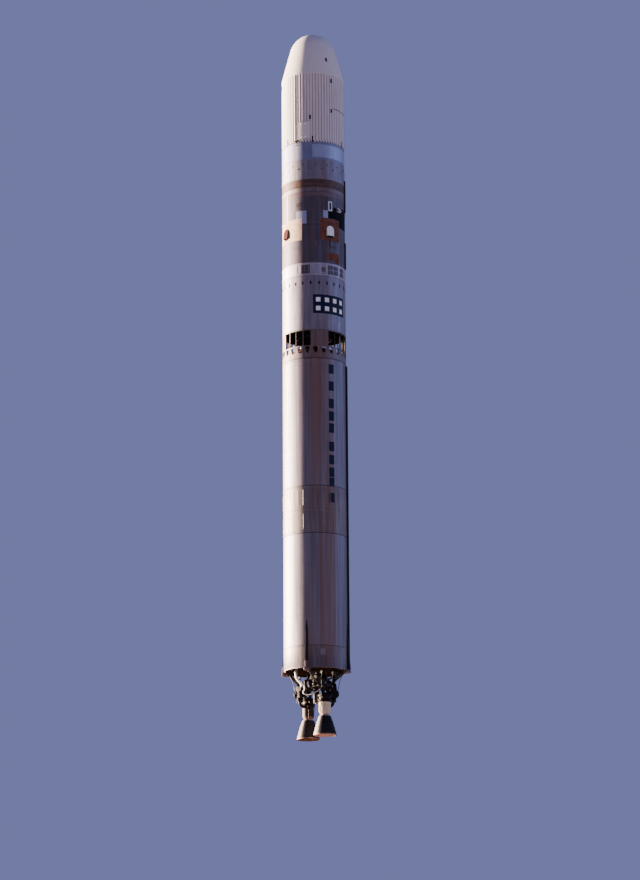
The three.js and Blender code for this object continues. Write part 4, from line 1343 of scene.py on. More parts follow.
    def longeron(self, number: int, azimuth: float, foot_top: float) -> None:
        """Adds one longeron: its wedge, its bare foot, its tip, its side flange and its bolts.

        Args:
            number: Its number in the CAD.
            azimuth: Its place round the body.
            foot_top: Height up to which its foot is left bare.
        """
        node = f"longeron_{number}"
        self.add(f"{node}_wedge", self.part_of(node, foot_top, above=True), Finish.LINE, replaces=[node])
        self.add(f"{node}_foot", self.part_of(node, foot_top, above=False), Finish.FRAMED)
        self.add(f"{node}_tip", self.tip(azimuth), Finish.LINE)
        low, high = self.flange_low, self.longeron_top
        flange = plate(azimuth, (low + high) / 2, self.longeron_width + 0.08, high - low, 0.004, 0.04)
        self.add(f"{node}_flange", flange, Finish.FRAMED)
        heads = [drum(0.011, 0.01, around(BODY_R + 0.009, azimuth + lap, z), around(1.0, azimuth), 6)
                 for z in evenly(0.24, high - 0.08, 14) for lap in (-self.bolt_lap, self.bolt_lap)]
        turn = Matrix.Rotation(radians(azimuth), 3, "Z")
        heads += [drum(0.018, 0.012, turn @ Vector((x, -radius, 0.006)), sides=6)
                  for x in (-0.09, 0.09) for radius in self.foot_bolts]
        self.add(f"{node}_bolts", gather(heads), Finish.BRIGHT)


@dataclass
class Interstage(Assembly):
    """The windowed section between the stages and the hollow skirt above it."""

    window_count: int = 4
    window_centre: float = 26.5
    window_span: float = 57.0
    window_low: float = 15.67
    window_high: float = 16.43
    ribs: int = 3
    rib_span: float = 1.4
    # Width of the raised strips on the posts
    strip_width: float = 0.026
    # Degrees by which a sleeve stands past its post
    sleeve_lap: float = 0.15
    port_count: int = 24
    port_first: float = 4.0
    port_z: float = 15.47
    port_size: Point = (0.25, 0.31)
    port_corner: float = 0.075
    port_rim: float = 0.012
    # Heights of the rivets and the inner frames, first those of the interstage, then those of the skirt above
    rivets: tuple[float, ...] = (15.19, 15.64, 16.452)
    frames: tuple[float, ...] = (15.2, 15.65, 16.44)
    skirt_rivets: tuple[float, ...] = (16.6, 17.12, 18.5)
    skirt_frames: tuple[float, ...] = (16.55, 17.1, 17.7)
    # Foot and head of the raised band round that skirt
    skirt_band: Point = (17.0, 17.054)
    # Middle and length of its weld lands
    skirt_welds: Point = (17.8, 1.3)

    def port_outline(self, grow: float) -> list[Point]:
        """Gives a port's outline, a triangle with round corners and its point down.

        Args:
            grow: Margin that is added outside.

        Returns:
            Points as X and Z.
        """
        wide, tall = (size / 2 - self.port_corner for size in self.port_size)
        reach = self.port_corner + grow
        points: list[Point] = []
        for x, z, first in ((wide, tall, -30.0), (-wide, tall, 90.0), (0.0, -tall, 210.0)):
            points += arc((x, self.port_z + z), (reach, reach), first, first + 120.0, 6)
        return points

    def port_prism(self, grow: float, inner: float, outer: float) -> Mesh:
        """Makes a prism through the wall with a port's outline.

        Args:
            grow: Margin round the port.
            inner: How far outside the skin it begins.
            outer: How far outside the skin it ends.

        Returns:
            The prism at the first port.
        """
        mesh, front = doubled(self.port_outline(grow), -inner)
        bmesh.ops.translate(mesh, vec=(0.0, inner - outer, 0.0), verts=front)
        return wrapped(tidy(mesh), self.port_first)

    def window_start(self, window: int) -> float:
        """Gives the azimuth of a window's first edge."""
        return self.window_centre - self.window_span / 2 + window * 360.0 / self.window_count

    def panes(self) -> list[Point]:
        """Gives the first azimuth and the span of each window pane."""
        span = (self.window_span - self.ribs * self.rib_span) / (self.ribs + 1)
        return [(self.window_start(window) + pane * (span + self.rib_span), span)
                for window in range(self.window_count) for pane in range(self.ribs + 1)]

    def build(self) -> None:
        """Builds the wall, its rims, the skirt above and the rings inside."""
        low, high = section("interstage")
        outline = on_skin((-0.004, low), (0.006, low + 0.008), (0.006, low + 0.07), (0.0, low + 0.08),
                          (0.0, high - 0.035), (0.008, high - 0.03), (0.008, high - 0.004), (-0.004, high))
        outline += [(INNER_R, high), (INNER_R, low)]
        wall = cut_away(lathe(outline, looped=True), self.holes())
        self.add("interstage_wall", wall, Finish.FRAMED, replaces=["interstage"], sharp=20.0)
        lining = cut_away(inner_coat(low + 0.01, high - 0.01), self.holes())
        self.add("interstage_lining", lining, Finish.LINING)
        rim = cut_away(self.port_prism(self.port_rim, -0.004, 0.007), self.port_prism(-0.002, -0.02, 0.03))
        self.add("port_rims", all_round(rim, self.port_count), Finish.FRAMED)
        self.add("interstage_rivets", rivet_rows(self.rivets), Finish.WELD)
        self.window_frames()
        rings = hoops(self.frames, 0.024, INNER_R + 0.002, INNER_R - 0.08)
        self.add("interstage_frames", rings, Finish.LINING)
        self.upper_skirt()

    def holes(self) -> Mesh:
        """Makes the spaces of all window panes and ports.

        Returns:
            Spaces that are deep enough to pass the wall and its lining.
        """
        spaces = [hoop(self.window_low, self.window_high, BODY_R + 0.1, INNER_R - 0.1, 6, 0.0, start, span)
                  for start, span in self.panes()]
        return gather([*spaces, all_round(self.port_prism(0.0, -0.1, 0.1), self.port_count)])

    def window_frames(self) -> None:
        """Adds the raised edges of the windows and the dark sleeves on the front window's posts."""
        low, high, lap = self.window_low, self.window_high, self.sleeve_lap
        edges = [edge for start, span in self.panes()
                 for edge in (start - self.rib_span / 2, start + span + self.rib_span / 2)]
        strips = [plate(edge, (low + high) / 2, self.strip_width, high - low, 0.008, 0.004) for edge in edges]
        for start in map(self.window_start, range(self.window_count)):
            for z in (low - 0.02, high + 0.012):
                strips.append(hoop(z - 0.012, z + 0.012, BODY_R + 0.007, BODY_R - 0.003, 24, 0.0, start,
                                   self.window_span))
        self.add("window_frames", gather(strips), Finish.FRAMED)
        sleeves = [hoop(low, high, BODY_R + 0.0095, INNER_R - 0.01, 2, 0.0, start - self.rib_span - lap,
                        self.rib_span + 2 * lap)
                   for start, _ in self.panes()[1:self.ribs + 1]]
        self.add("window_post_sleeves", gather(sleeves), Finish.LINE)

    def upper_skirt(self) -> None:
        """Builds the hollow skirt of the second stage."""
        low, high = section("upper_skirt")
        foot, head = self.skirt_band
        outline = on_skin((-0.004, low), (0.012, low + 0.006), (0.012, low + 0.05), (0.0, low + 0.06),
                          (0.0, foot), (0.003, foot + 0.004), (0.003, head - 0.004), (0.0, head),
                          (0.0, high - 0.006), (-0.006, high))
        outline += [(INNER_R, high), (INNER_R, low)]
        self.add("upper_skirt_skin", lathe(outline, looped=True), Finish.SKIRT, replaces=["upper_skirt"])
        self.add("upper_skirt_lining", inner_coat(low + 0.01, high - 0.01), Finish.LINING)
        self.add("upper_skirt_rivets", rivet_rows(self.skirt_rivets), Finish.WELD)
        lines = gather(weld_land(azimuth, *self.skirt_welds) for azimuth in UPPER_WELDS)
        self.add("upper_skirt_welds", lines, Finish.WELD)
        rings = hoops(self.skirt_frames, 0.02, INNER_R + 0.002, INNER_R - 0.07)
        self.add("upper_skirt_frames", rings, Finish.LINING)


@dataclass
class UpperEngine(Assembly):
    """The second stage's engine: one bell with its head and its struts."""

    exit_z: float = 16.32
    exit_r: float = 0.84
    throat_z: float = 17.7
    throat_r: float = 0.18
    # Power that gives the bell's line its curve
    flare_power: float = 0.62
    head_r: float = 0.26
    head_z: float = 18.15
    wall: float = 0.02
    struts: int = 6
    strut_foot_z: float = 17.5
    sides: int = 96

    def flare(self, share: float) -> Point:
        """Gives the bell's outer line from the throat at 0 to the exit at 1."""
        radius = self.throat_r + (self.exit_r - self.throat_r) * share**self.flare_power
        return radius, self.throat_z + (self.exit_z - self.throat_z) * share

    def build(self) -> None:
        """Builds the engine."""
        outside = [self.flare(share) for share in evenly(1.0, 0.0, 14)]
        inside = [(radius - self.wall, z) for radius, z in reversed(outside)]
        head = [(self.head_r, self.throat_z + 0.18), (self.head_r, self.head_z - 0.04),
                (self.head_r - 0.04, self.head_z), (0.0, self.head_z)]
        outline = [*outside, *head, (0.0, self.throat_z + 0.06), *inside]
        mesh = lathe([*outline, outline[0]], self.sides)
        self.add("upper_bell", mesh, Finish.UPPER_BELL, replaces=["upper_engine"])
        lip = hoop(self.exit_z, self.exit_z + 0.035, self.exit_r + 0.008, self.exit_r - self.wall - 0.004,
                   self.sides, 0.004)
        self.add("upper_bell_lip", lip, Finish.STEEL)
        bands = [hoop(z - 0.02, z + 0.02, radius + 0.022, radius - 0.012, self.sides, 0.004)
                 for radius, z in map(self.flare, (0.3, 0.55, 0.8))]
        self.add("upper_bell_bands", gather(bands), Finish.STEEL)
        legs = []
        for azimuth in evenly(0.0, 360.0, self.struts)[1:]:
            foot = around(BODY_R - 0.045, azimuth, self.strut_foot_z)
            legs.append(rod(around(self.head_r / 2, azimuth, self.head_z - 0.05), foot, 0.035))
            pad = around(BODY_R - 0.047, azimuth, self.strut_foot_z)
            legs.append(drum(0.06, 0.02, pad, around(1.0, azimuth), 16))
        self.add("upper_struts", gather(legs), Finish.TUBE)


# Payload fairing


@dataclass
class Fairing(Assembly):
    """The corrugated payload fairing in three sectors, with its smooth nose and its door."""

    split: float = -60.0
    sector_span: float = 120.0
    gap: float = 0.006
    wall: float = 0.055
    flutes: int = 66
    depth: float = 0.016
    steps_per_flute: int = 10
    nose_base: float = 29.59
    cone_height: float = 1.6
    cone_angle: float = 15.0
    ring_rivets: int = 132
    seam_z: float = 27.78
    # First azimuth and span of the seam of the front sector's joint
    seam_arc: Point = (12.0, 228.0)
    door_azimuth: float = -45.0
    door_z: float = 26.57
    door_size: Point = (0.612, 0.9)
    latch_places: Point = (-0.115, 0.05)
    latch_rise: float = 0.34
    # Columns: azimuth, height, width, length of the vents that every sector has, then of those at the front
    shared_vents: tuple[tuple[float, ...], ...] = (
        (1.5, 30.34, 0.1, 0.22), (7.7, 29.2, 0.09, 0.22), (-33.7, 27.23, 0.09, 0.22),
        (-29.3, 26.05, 0.07, 0.43), (37.5, 26.07, 0.07, 0.38))
    front_vents: tuple[tuple[float, ...], ...] = (
        (7.7, 27.64, 0.09, 0.2), (-60.3, 26.07, 0.24, 0.11), (-60.3, 25.94, 0.11, 0.24))

    def nose(self, inset: float, steps: int) -> list[Point]:
        """Gives the nose as a cone that runs into a round cap.

        Args:
            inset: How far inside the outer skin the line runs.
            steps: Facets of the cap.

        Returns:
            Points from the cone's foot to the tip.
        """
        slope = radians(self.cone_angle)
        cap_r = (BODY_R - self.cone_height * tan(slope)) / cos(slope)
        centre = self.nose_base + self.cone_height - cap_r * sin(slope)
        cap = arc((0.0, centre), (cap_r - inset, cap_r - inset), self.cone_angle, 90.0, steps)
        return [(BODY_R - inset, self.nose_base), *cap[:-1], (0.0, cap[-1][1])]

    def outline(self) -> list[Point]:
        """Gives the wall's closed outline, outer side first.

        Returns:
            Points as radius and height.
        """
        low = section("fairing_front")[0]
        fluted = BODY_R - 0.0001
        outer = [(BODY_R - 0.008, low), (BODY_R, low + 0.01), (BODY_R, low + 0.05), (fluted, low + 0.07),
                 (fluted, self.nose_base - 0.09), (BODY_R, self.nose_base - 0.06)]
        return [*outer, *self.nose(0.0, 18), *reversed(self.nose(self.wall, 10)), (BODY_R - self.wall, low)]

    def flute(self, azimuth: float) -> float:
        """Gives how far the skin lies below the crests at an azimuth.

        Args:
            azimuth: The place round the body.

        Returns:
            A share of the flutes' depth, from 0 to 1.
        """
        place = (azimuth * self.flutes / 360.0) % 1.0
        wave = 0.5 + 0.5 * cos(tau * (place - 0.2))
        return 1.0 - min(max((wave - 0.3) / 0.4, 0.0), 1.0)

    def corrugate(self, mesh: Mesh, low: float, high: float) -> None:
        """Presses the flutes into the outer skin.

        Args:
            mesh: A sector's shell.
            low: Height at which the flutes begin.
            high: Height at which they end.
        """
        for vert in mesh.verts:
            radius = hypot(vert.co.x, vert.co.y)
            if low < vert.co.z < high and radius > BODY_R - 0.03:
                share = 1.0 - self.depth * self.flute(degrees(atan2(vert.co.x, -vert.co.y))) / radius
                vert.co.x *= share
                vert.co.y *= share

    def build(self) -> None:
        """Builds the sectors, the door, the seams and the small dark openings."""
        low = section("fairing_front")[0]
        side_gap = degrees(self.gap / 2 / BODY_R)
        per_sector = self.flutes * self.steps_per_flute // 3
        for index, name in enumerate(("front", "right", "left")):
            start = self.split + index * self.sector_span + side_gap
            shell = lathe(self.outline(), per_sector, start, self.sector_span - 2 * side_gap)
            self.corrugate(shell, low + 0.06, self.nose_base - 0.07)
            self.add(f"fairing_shell_{name}", shell, Finish.FAIRING, replaces=[f"fairing_{name}"], sharp=28.0)
        self.rings(low)
        self.door()
        self.openings()

    def rings(self, low: float) -> None:
        """Adds the rivets and clips of the rings, the split lines and the seam.

        Args:
            low: Height of the fairing's foot.
        """
        rows = rivet_rows((low + 0.03, self.nose_base - 0.03), self.ring_rivets)
        self.add("fairing_rivets", rows, Finish.WELD)
        length, middle = self.nose_base - low - 0.2, (low + self.nose_base) / 2
        lines = [wrapped(block((0.018, 0.004, length), (0.0, -0.001, middle)),
                         self.split + index * self.sector_span)
                 for index in range(3)]
        lines.append(hoop(self.seam_z - 0.014, self.seam_z + 0.014, BODY_R + 0.001, BODY_R - 0.02, 64, 0.0,
                          *self.seam_arc))
        self.add("fairing_split_lines", gather(lines), Finish.LINE)
        clips = all_round(plate(0.0, low + 0.03, 0.06, 0.05, 0.008, 0.0), self.flutes)
        self.add("fairing_edge_clips", clips, Finish.LINE)

    def door(self) -> None:
        """Adds the access door with its seal and its four white latches."""
        azimuth, z, (width, height) = self.door_azimuth, self.door_z, self.door_size
        panel = wrapped(block((width, 0.03, height), (0.0, 0.0, z), corner=0.05), azimuth, BODY_R - 0.012)
        self.add("fairing_door_panel", panel, Finish.FAIRING, replaces=["fairing_door"])
        seal = frame_plate(azimuth, z, width + 0.03, height + 0.03, 0.018, 0.004)
        self.add("fairing_door_seal", seal, Finish.SEAL)
        latches = [wrapped(drum(0.044, 0.014, (x, -0.008, z + rise), OUTWARD, 16), azimuth)
                   for x in self.latch_places for rise in (-self.latch_rise, self.latch_rise)]
        self.add("fairing_door_latches", gather(latches), Finish.WHITE)

    def openings(self) -> None:
        """Adds the small dark vents with their rims, and the fitting at the split line."""
        slope = radians(self.cone_angle)
        vents = [(azimuth + turn, *sizes) for turn in (0.0, 120.0, -120.0)
                 for azimuth, *sizes in self.shared_vents]
        darks, rims = [], []
        for azimuth, z, width, length in (*vents, *self.front_vents):
            above = max(0.0, z - self.nose_base)
            for target, grow, proud in ((rims, 0.02, 0.004), (darks, 0.0, 0.007)):
                flat = block((width + grow, 0.02, length + grow), (0.0, 0.01 - proud, 0.0), corner=0.012)
                if above:
                    moved(flat, Matrix.Rotation(-slope, 4, "X"))
                target.append(wrapped(shifted(flat, 0.0, 0.0, z), azimuth, BODY_R - above * tan(slope)))
        self.add("fairing_vent_rims", gather(rims), Finish.FAIRING)
        self.add("fairing_vents", gather(darks), Finish.BLACK)


# Fittings on the second stage


@dataclass(frozen=True)
class Patch:
    """A plate on the skin: its azimuth, middle height, width, height, finish, thickness and corner radius."""

    name: str
    azimuth: float
    z: float
    width: float
    height: float
    finish: Finish
    proud: float = 0.006
    corner: float = 0.02


# The azimuth and the width of the boxes in each row on the pale ring
RING_BOXES = ((3.6, 0.28), (16.0, 0.25), (32.0, 0.25))

PATCHES = (
    Patch("white_panel", -51.5, 22.12, 0.55, 0.66, Finish.ADAPTER),
    Patch("grey_panel", -5.8, 22.29, 0.26, 0.38, Finish.ADAPTER),
    Patch("slot_frame", 3.6, 22.72, 0.22, 0.49, Finish.PALE, 0.012),
    Patch("slot", 3.6, 22.72, 0.09, 0.36, Finish.BLACK, 0.016, 0.01),
    Patch("brown_patch", 10.4, 20.17, 0.76, 0.38, Finish.CORK, 0.008, 0.06),
    Patch("brown_patch_tail", 18.5, 19.98, 0.3, 0.24, Finish.CORK, 0.006, 0.05),
    *(Patch(f"ring_box_{number}", azimuth, 19.6, width, 0.19, Finish.UPPER, 0.03, 0.012)
      for number, (azimuth, width) in enumerate(RING_BOXES, 1)),
    *(Patch(f"ring_box_{number}", azimuth, 19.36, width, 0.19, Finish.UPPER, 0.03, 0.012)
      for number, (azimuth, width) in enumerate(RING_BOXES, 4)),
    # ring_shade is a darker sheet on the pale ring, next to its lit side: painted shade
    Patch("ring_shade", -43.5, 19.48, 0.42, 0.46, Finish.UPPER, 0.004, 0.02),
    Patch("drain_line", 2.2, 20.9, 0.035, 0.5, Finish.BLACK, 0.006, 0.01),
    Patch("drain_cross", 8.0, 20.67, 0.34, 0.03, Finish.LINE, 0.006, 0.01),
    Patch("drain_stain", -24.0, 20.8, 0.1, 0.3, Finish.BROWN, 0.003, 0.04),
    Patch("ring_stain", -10.5, 19.48, 0.2, 0.24, Finish.BROWN, 0.01, 0.03),
    Patch("ring_box_7", 195.0, 19.5, 0.3, 0.26, Finish.BLACK, 0.03, 0.012),
    Patch("ring_box_8", 178.0, 19.5, 0.16, 0.2, Finish.LINE, 0.02, 0.012),
    Patch("equipment_door_1", 130.0, 20.35, 0.5, 0.62, Finish.PALE, 0.005, 0.05),
    Patch("equipment_door_2", -140.0, 20.35, 0.5, 0.62, Finish.PALE, 0.005, 0.05),
    Patch("equipment_door_3", -38.0, 20.3, 0.42, 0.56, Finish.UPPER, 0.005, 0.05),
    Patch("tunnel_patch", 151.0, 22.3, 0.44, 0.56, Finish.BROWN, 0.005, 0.03),
)


@dataclass(frozen=True)
class Cover:
    """A thruster cover: its side, its azimuth, its insulation's two edges and its two finishes."""

    side: str
    azimuth: float
    first: float
    last: float
    shell: Finish = Finish.WHITE
    panel: Finish = Finish.CORK


@dataclass
class SecondStageFittings(Assembly):
    """What is fixed on the second stage: covers, insulation, plates, hoses, slots and caps."""

    covers: tuple[Cover, ...] = (
        # The left cover's shell is dark red oxide, darker than the white of the other covers, to paint the
        # shade on its flank; its panel is the paler cork that paints sunlight
        Cover("front", 3.0, -17.0, 25.0), Cover("left", -87.0, -107.0, -50.0, Finish.OXIDE, Finish.TAN),
        Cover("back", 183.0, 163.0, 206.0), Cover("right", 93.0, 73.0, 116.0))
    cover_width: float = 0.38
    cover_low: float = 21.2
    arch_centre: float = 21.52
    cover_proud: float = 0.09
    # Radius of the insulation that the covers stand on
    seat: float = BODY_R + 0.011
    slot_count: int = 24
    slot_first: float = -49.2
    slot_z: float = 18.8
    # Columns: azimuth, height, width, height of each overlapping black sheet
    sheets: tuple[tuple[float, ...], ...] = (
        (28.0, 22.3, 1.4, 0.42), (39.5, 22.1, 0.76, 0.7), (6.5, 22.28, 0.4, 0.36), (14.0, 22.52, 0.22, 0.34),
        (44.0, 22.58, 0.56, 0.36))
    # Columns: azimuth of the first cap, height of the row
    cap_rows: tuple[Point, ...] = ((-47.3, 24.8), (-57.4, 24.6))
    caps_per_row: int = 16
    # Columns: azimuth, height, reach of a hose loop in metres along the wall and up it
    red_loops: tuple[tuple[float, ...], ...] = (
        (-62.0, 22.78, 0.1, 0.14), (-59.0, 22.66, 0.08, -0.16), (-56.5, 22.84, 0.1, -0.1))
    light_loops: tuple[tuple[float, ...], ...] = ((21.0, 22.62, 0.1, 0.2), (25.0, 22.6, 0.12, -0.16))
    hose_r: float = 0.011

    def build(self) -> None:
        """Builds all of them."""
        for cover in self.covers:
            self.cover(cover)
        for patch in PATCHES:
            mesh = plate(patch.azimuth, patch.z, patch.width, patch.height, patch.proud, patch.corner)
            self.add(patch.name, mesh, patch.finish)
        slot = plate(self.slot_first, self.slot_z, 0.085, 0.16, 0.006)
        self.add("lower_slots", all_round(slot, self.slot_count), Finish.LINE)
        # Each sheet lies a little prouder than the one before, so that no two of them share a face
        sheets = [plate(*places, 0.009 + 0.002 * index, 0.03) for index, places in enumerate(self.sheets)]
        self.add("black_sheets", gather(sheets), Finish.BLACK)
        caps = [all_round(drum(0.03, 0.014, around(BODY_R + 0.004, first, z), around(1.0, first), 12),
                          self.caps_per_row) for first, z in self.cap_rows]
        self.add("forward_caps", gather(caps), Finish.LINE)
        self.bands()
        self.add("service_hoses", gather(self.hose(*loop) for loop in self.red_loops), Finish.OXIDE)
        self.add("light_hoses", gather(self.hose(*loop) for loop in self.light_loops), Finish.WHITE)

    def cover_shape(self, grow: float) -> Mesh:
        """Makes the arched blister of a thruster, leaning back to the skin.

        Args:
            grow: Margin that is added outside.

        Returns:
            The blister on the flat wall.
        """
        half = self.cover_width / 2 + grow
        arch = arc((0.0, self.arch_centre), (half, half), 0.0, 180.0, 20)
        mesh, front = doubled([*arch, (-half, self.cover_low), (half, self.cover_low)], 0.0)
        top = self.arch_centre + half
        for vert in front:
            rise = max(0.0, (vert.co.z - self.cover_low) / (top - self.cover_low))
            vert.co.y = -(self.cover_proud + grow) * (1.0 - 0.75 * rise**2)
            vert.co.x *= 1.0 - 0.12 * (1.0 - rise)
        return tidy(mesh)

    def cover(self, cover: Cover) -> None:
        """Builds one thruster cover, open at its foot, on its insulation panel.

        Args:
            cover: Its places and finishes.
        """
        side, azimuth, foot = cover.side, cover.azimuth, self.cover_low
        low, high = section(f"insulation_{side}")
        sheet = hoop(low, high, BODY_R + 0.012, BODY_R - 0.002, 24, 0.004, cover.first,
                     cover.last - cover.first)
        self.add(f"cork_panel_{side}", sheet, cover.panel, replaces=[f"insulation_{side}"])
        shell = cut_away(self.cover_shape(0.0), shifted(self.cover_shape(-0.014), 0.0, -0.004, -0.02))
        dome = wrapped(shell, azimuth, self.seat, 0.05)
        self.add(f"cover_shell_{side}", dome, cover.shell, replaces=[f"thruster_cover_{side}"])
        # The black floor plate inside the open foot and the black strip on the skin under it are painted
        # shade of the opening and painted shadow below it
        lip = block((self.cover_width * 0.8, self.cover_proud * 0.8, 0.012),
                    (0.0, -self.cover_proud * 0.4, foot + 0.06))
        self.add(f"cover_floor_{side}", wrapped(lip, azimuth, self.seat), Finish.BLACK)
        throat = block((self.cover_width * 0.84, 0.004, 0.09), (0.0, -0.003, foot - 0.03))
        self.add(f"cover_painted_shadow_{side}", wrapped(throat, azimuth, self.seat), Finish.BLACK)
        horns = [wrapped(drum(0.04, 0.07, (x, -0.046, foot + 0.02), sides=24, end_radius=0.022), azimuth,
                         self.seat)
                 for x in (-0.09, 0.09)]
        self.add(f"thruster_horns_{side}", gather(horns), Finish.DARK_METAL)
        half = self.cover_width / 2 + 0.03
        screws = [wrapped(drum(0.009, 0.008, (x, -0.003, z), OUTWARD, 6), azimuth, BODY_R + 0.012)
                  for x in (-half, half) for z in evenly(foot + 0.03, self.arch_centre, 5)]
        self.add(f"cover_screws_{side}", gather(screws), Finish.BRIGHT)

    def bands(self) -> None:
        """Adds the light stripe and the brown ring under the bronze band, and the adapter's pale sheet."""
        skin = BODY_R - 0.003
        self.add("light_stripe", hoop(23.44, 23.63, BODY_R + 0.0015, skin), Finish.FRAMED)
        self.add("brown_ring", hoop(23.2, 23.4, BODY_R + 0.0015, skin), Finish.BROWN)
        sheet = hoop(25.18, 25.83, BODY_R + 0.002, skin, 40, 0.0, -30.0, 108.0)
        self.add("adapter_sheet", sheet, Finish.ADAPTER)

    def hose(self, azimuth: float, z: float, wide: float, tall: float) -> Mesh:
        """Makes one looped service hose.

        Args:
            azimuth: Where its ends lie.
            z: Height of its middle.
            wide: How far it bulges along the wall.
            tall: How far it rises, negative where it falls.

        Returns:
            The hose.
        """
        points = []
        for share in evenly(0.0, 1.0, 6):
            bulge = sin(pi * share)
            turn = degrees(wide * bulge / BODY_R)
            points.append(around(BODY_R + 0.012 + 0.05 * bulge, azimuth + turn, z + tall * (share - 0.5)))
        return tube(points, self.hose_r)


@dataclass
class Raceways(Assembly):
    """The cable tunnels along the outside, with their straps and feet."""

    # Columns: node, azimuth, span in degrees, how far it stands proud
    runs: tuple[tuple[str, float, float, float], ...] = (
        ("raceway_lower", 52.0, 6.4, 0.08), ("raceway_middle", 53.0, 6.0, 0.06),
        ("raceway_upper", 53.0, 6.0, 0.06))
    strap_pitch: float = 0.62
    end_gap: float = 0.2

    def build(self) -> None:
        """Builds every raceway."""
        for node, azimuth, span, proud in self.runs:
            low, high = section(node)
            width, middle = radians(span) * BODY_R, (low + high) / 2
            mesh = block((width, proud - 0.002, high - low), (0.0, -proud / 2, middle))
            for vert in mesh.verts:
                if vert.co.y < -proud / 2:
                    vert.co.z += copysign(0.07, middle - vert.co.z)
                    vert.co.x *= 0.86
            edges = [e for e in mesh.edges if all(v.co.y < -proud / 2 for v in e.verts)]
            cover = wrapped(rounded(mesh, edges, 0.014, 3), azimuth)
            self.add(f"{node}_cover", cover, Finish.LINE, replaces=[node])
            count = max(2, round((high - low) / self.strap_pitch))
            heights = evenly(low + self.end_gap, high - self.end_gap, count)
            parts = [wrapped(block((width * 0.94, 0.004, 0.03), (0.0, -proud - 0.001, z)), azimuth)
                     for z in heights]
            parts += [plate(azimuth, z, width + 0.07, 0.04, 0.005, 0.01) for z in heights]
            self.add(f"{node}_straps", gather(parts), Finish.FRAMED)


# Marks


@dataclass
class TrackingMarks(Assembly):
    """Plain tracking marks: a column of blocks on the first stage and a board of squares on the second."""

    azimuth: float = 3.2
    heights: tuple[float, ...] = (14.54, 13.7, 12.84, 12.22, 11.63, 10.73, 10.09, 9.47, 8.98, 8.24)
    size: Point = (0.28, 0.46)
    board_azimuth: float = 4.0
    board_z: float = 17.74
    pitch: float = 0.44
    square: float = 0.22
    columns: int = 4
    rows: int = 2

    def build(self) -> None:
        """Builds the blocks and the board."""
        blocks = [plate(self.azimuth, z, *self.size, 0.0045, 0.0) for z in self.heights]
        self.add("tracking_blocks", gather(blocks), Finish.NAVY)
        width, height = self.columns * self.pitch, self.rows * self.pitch
        board = plate(self.board_azimuth, self.board_z, width + 0.06, height + 0.06, 0.0015, 0.0)
        self.add("tracking_board", board, Finish.NAVY)
        squares = []
        for column in range(self.columns):
            for row in range(self.rows):
                x = (column + 0.5) * self.pitch - width / 2
                z = self.board_z + (row + 0.5) * self.pitch - height / 2
                flat = block((self.square, 0.005, self.square), (x, 0.0, z))
                squares.append(wrapped(flat, self.board_azimuth, BODY_R + 0.0005))
        self.add("tracking_squares", gather(squares), Finish.WHITE)


# First-stage engine


class Side(Enum):
    """The two halves of the first-stage engine, each with its turn round the long axis."""

    FRONT = 0.0
    REAR = 180.0


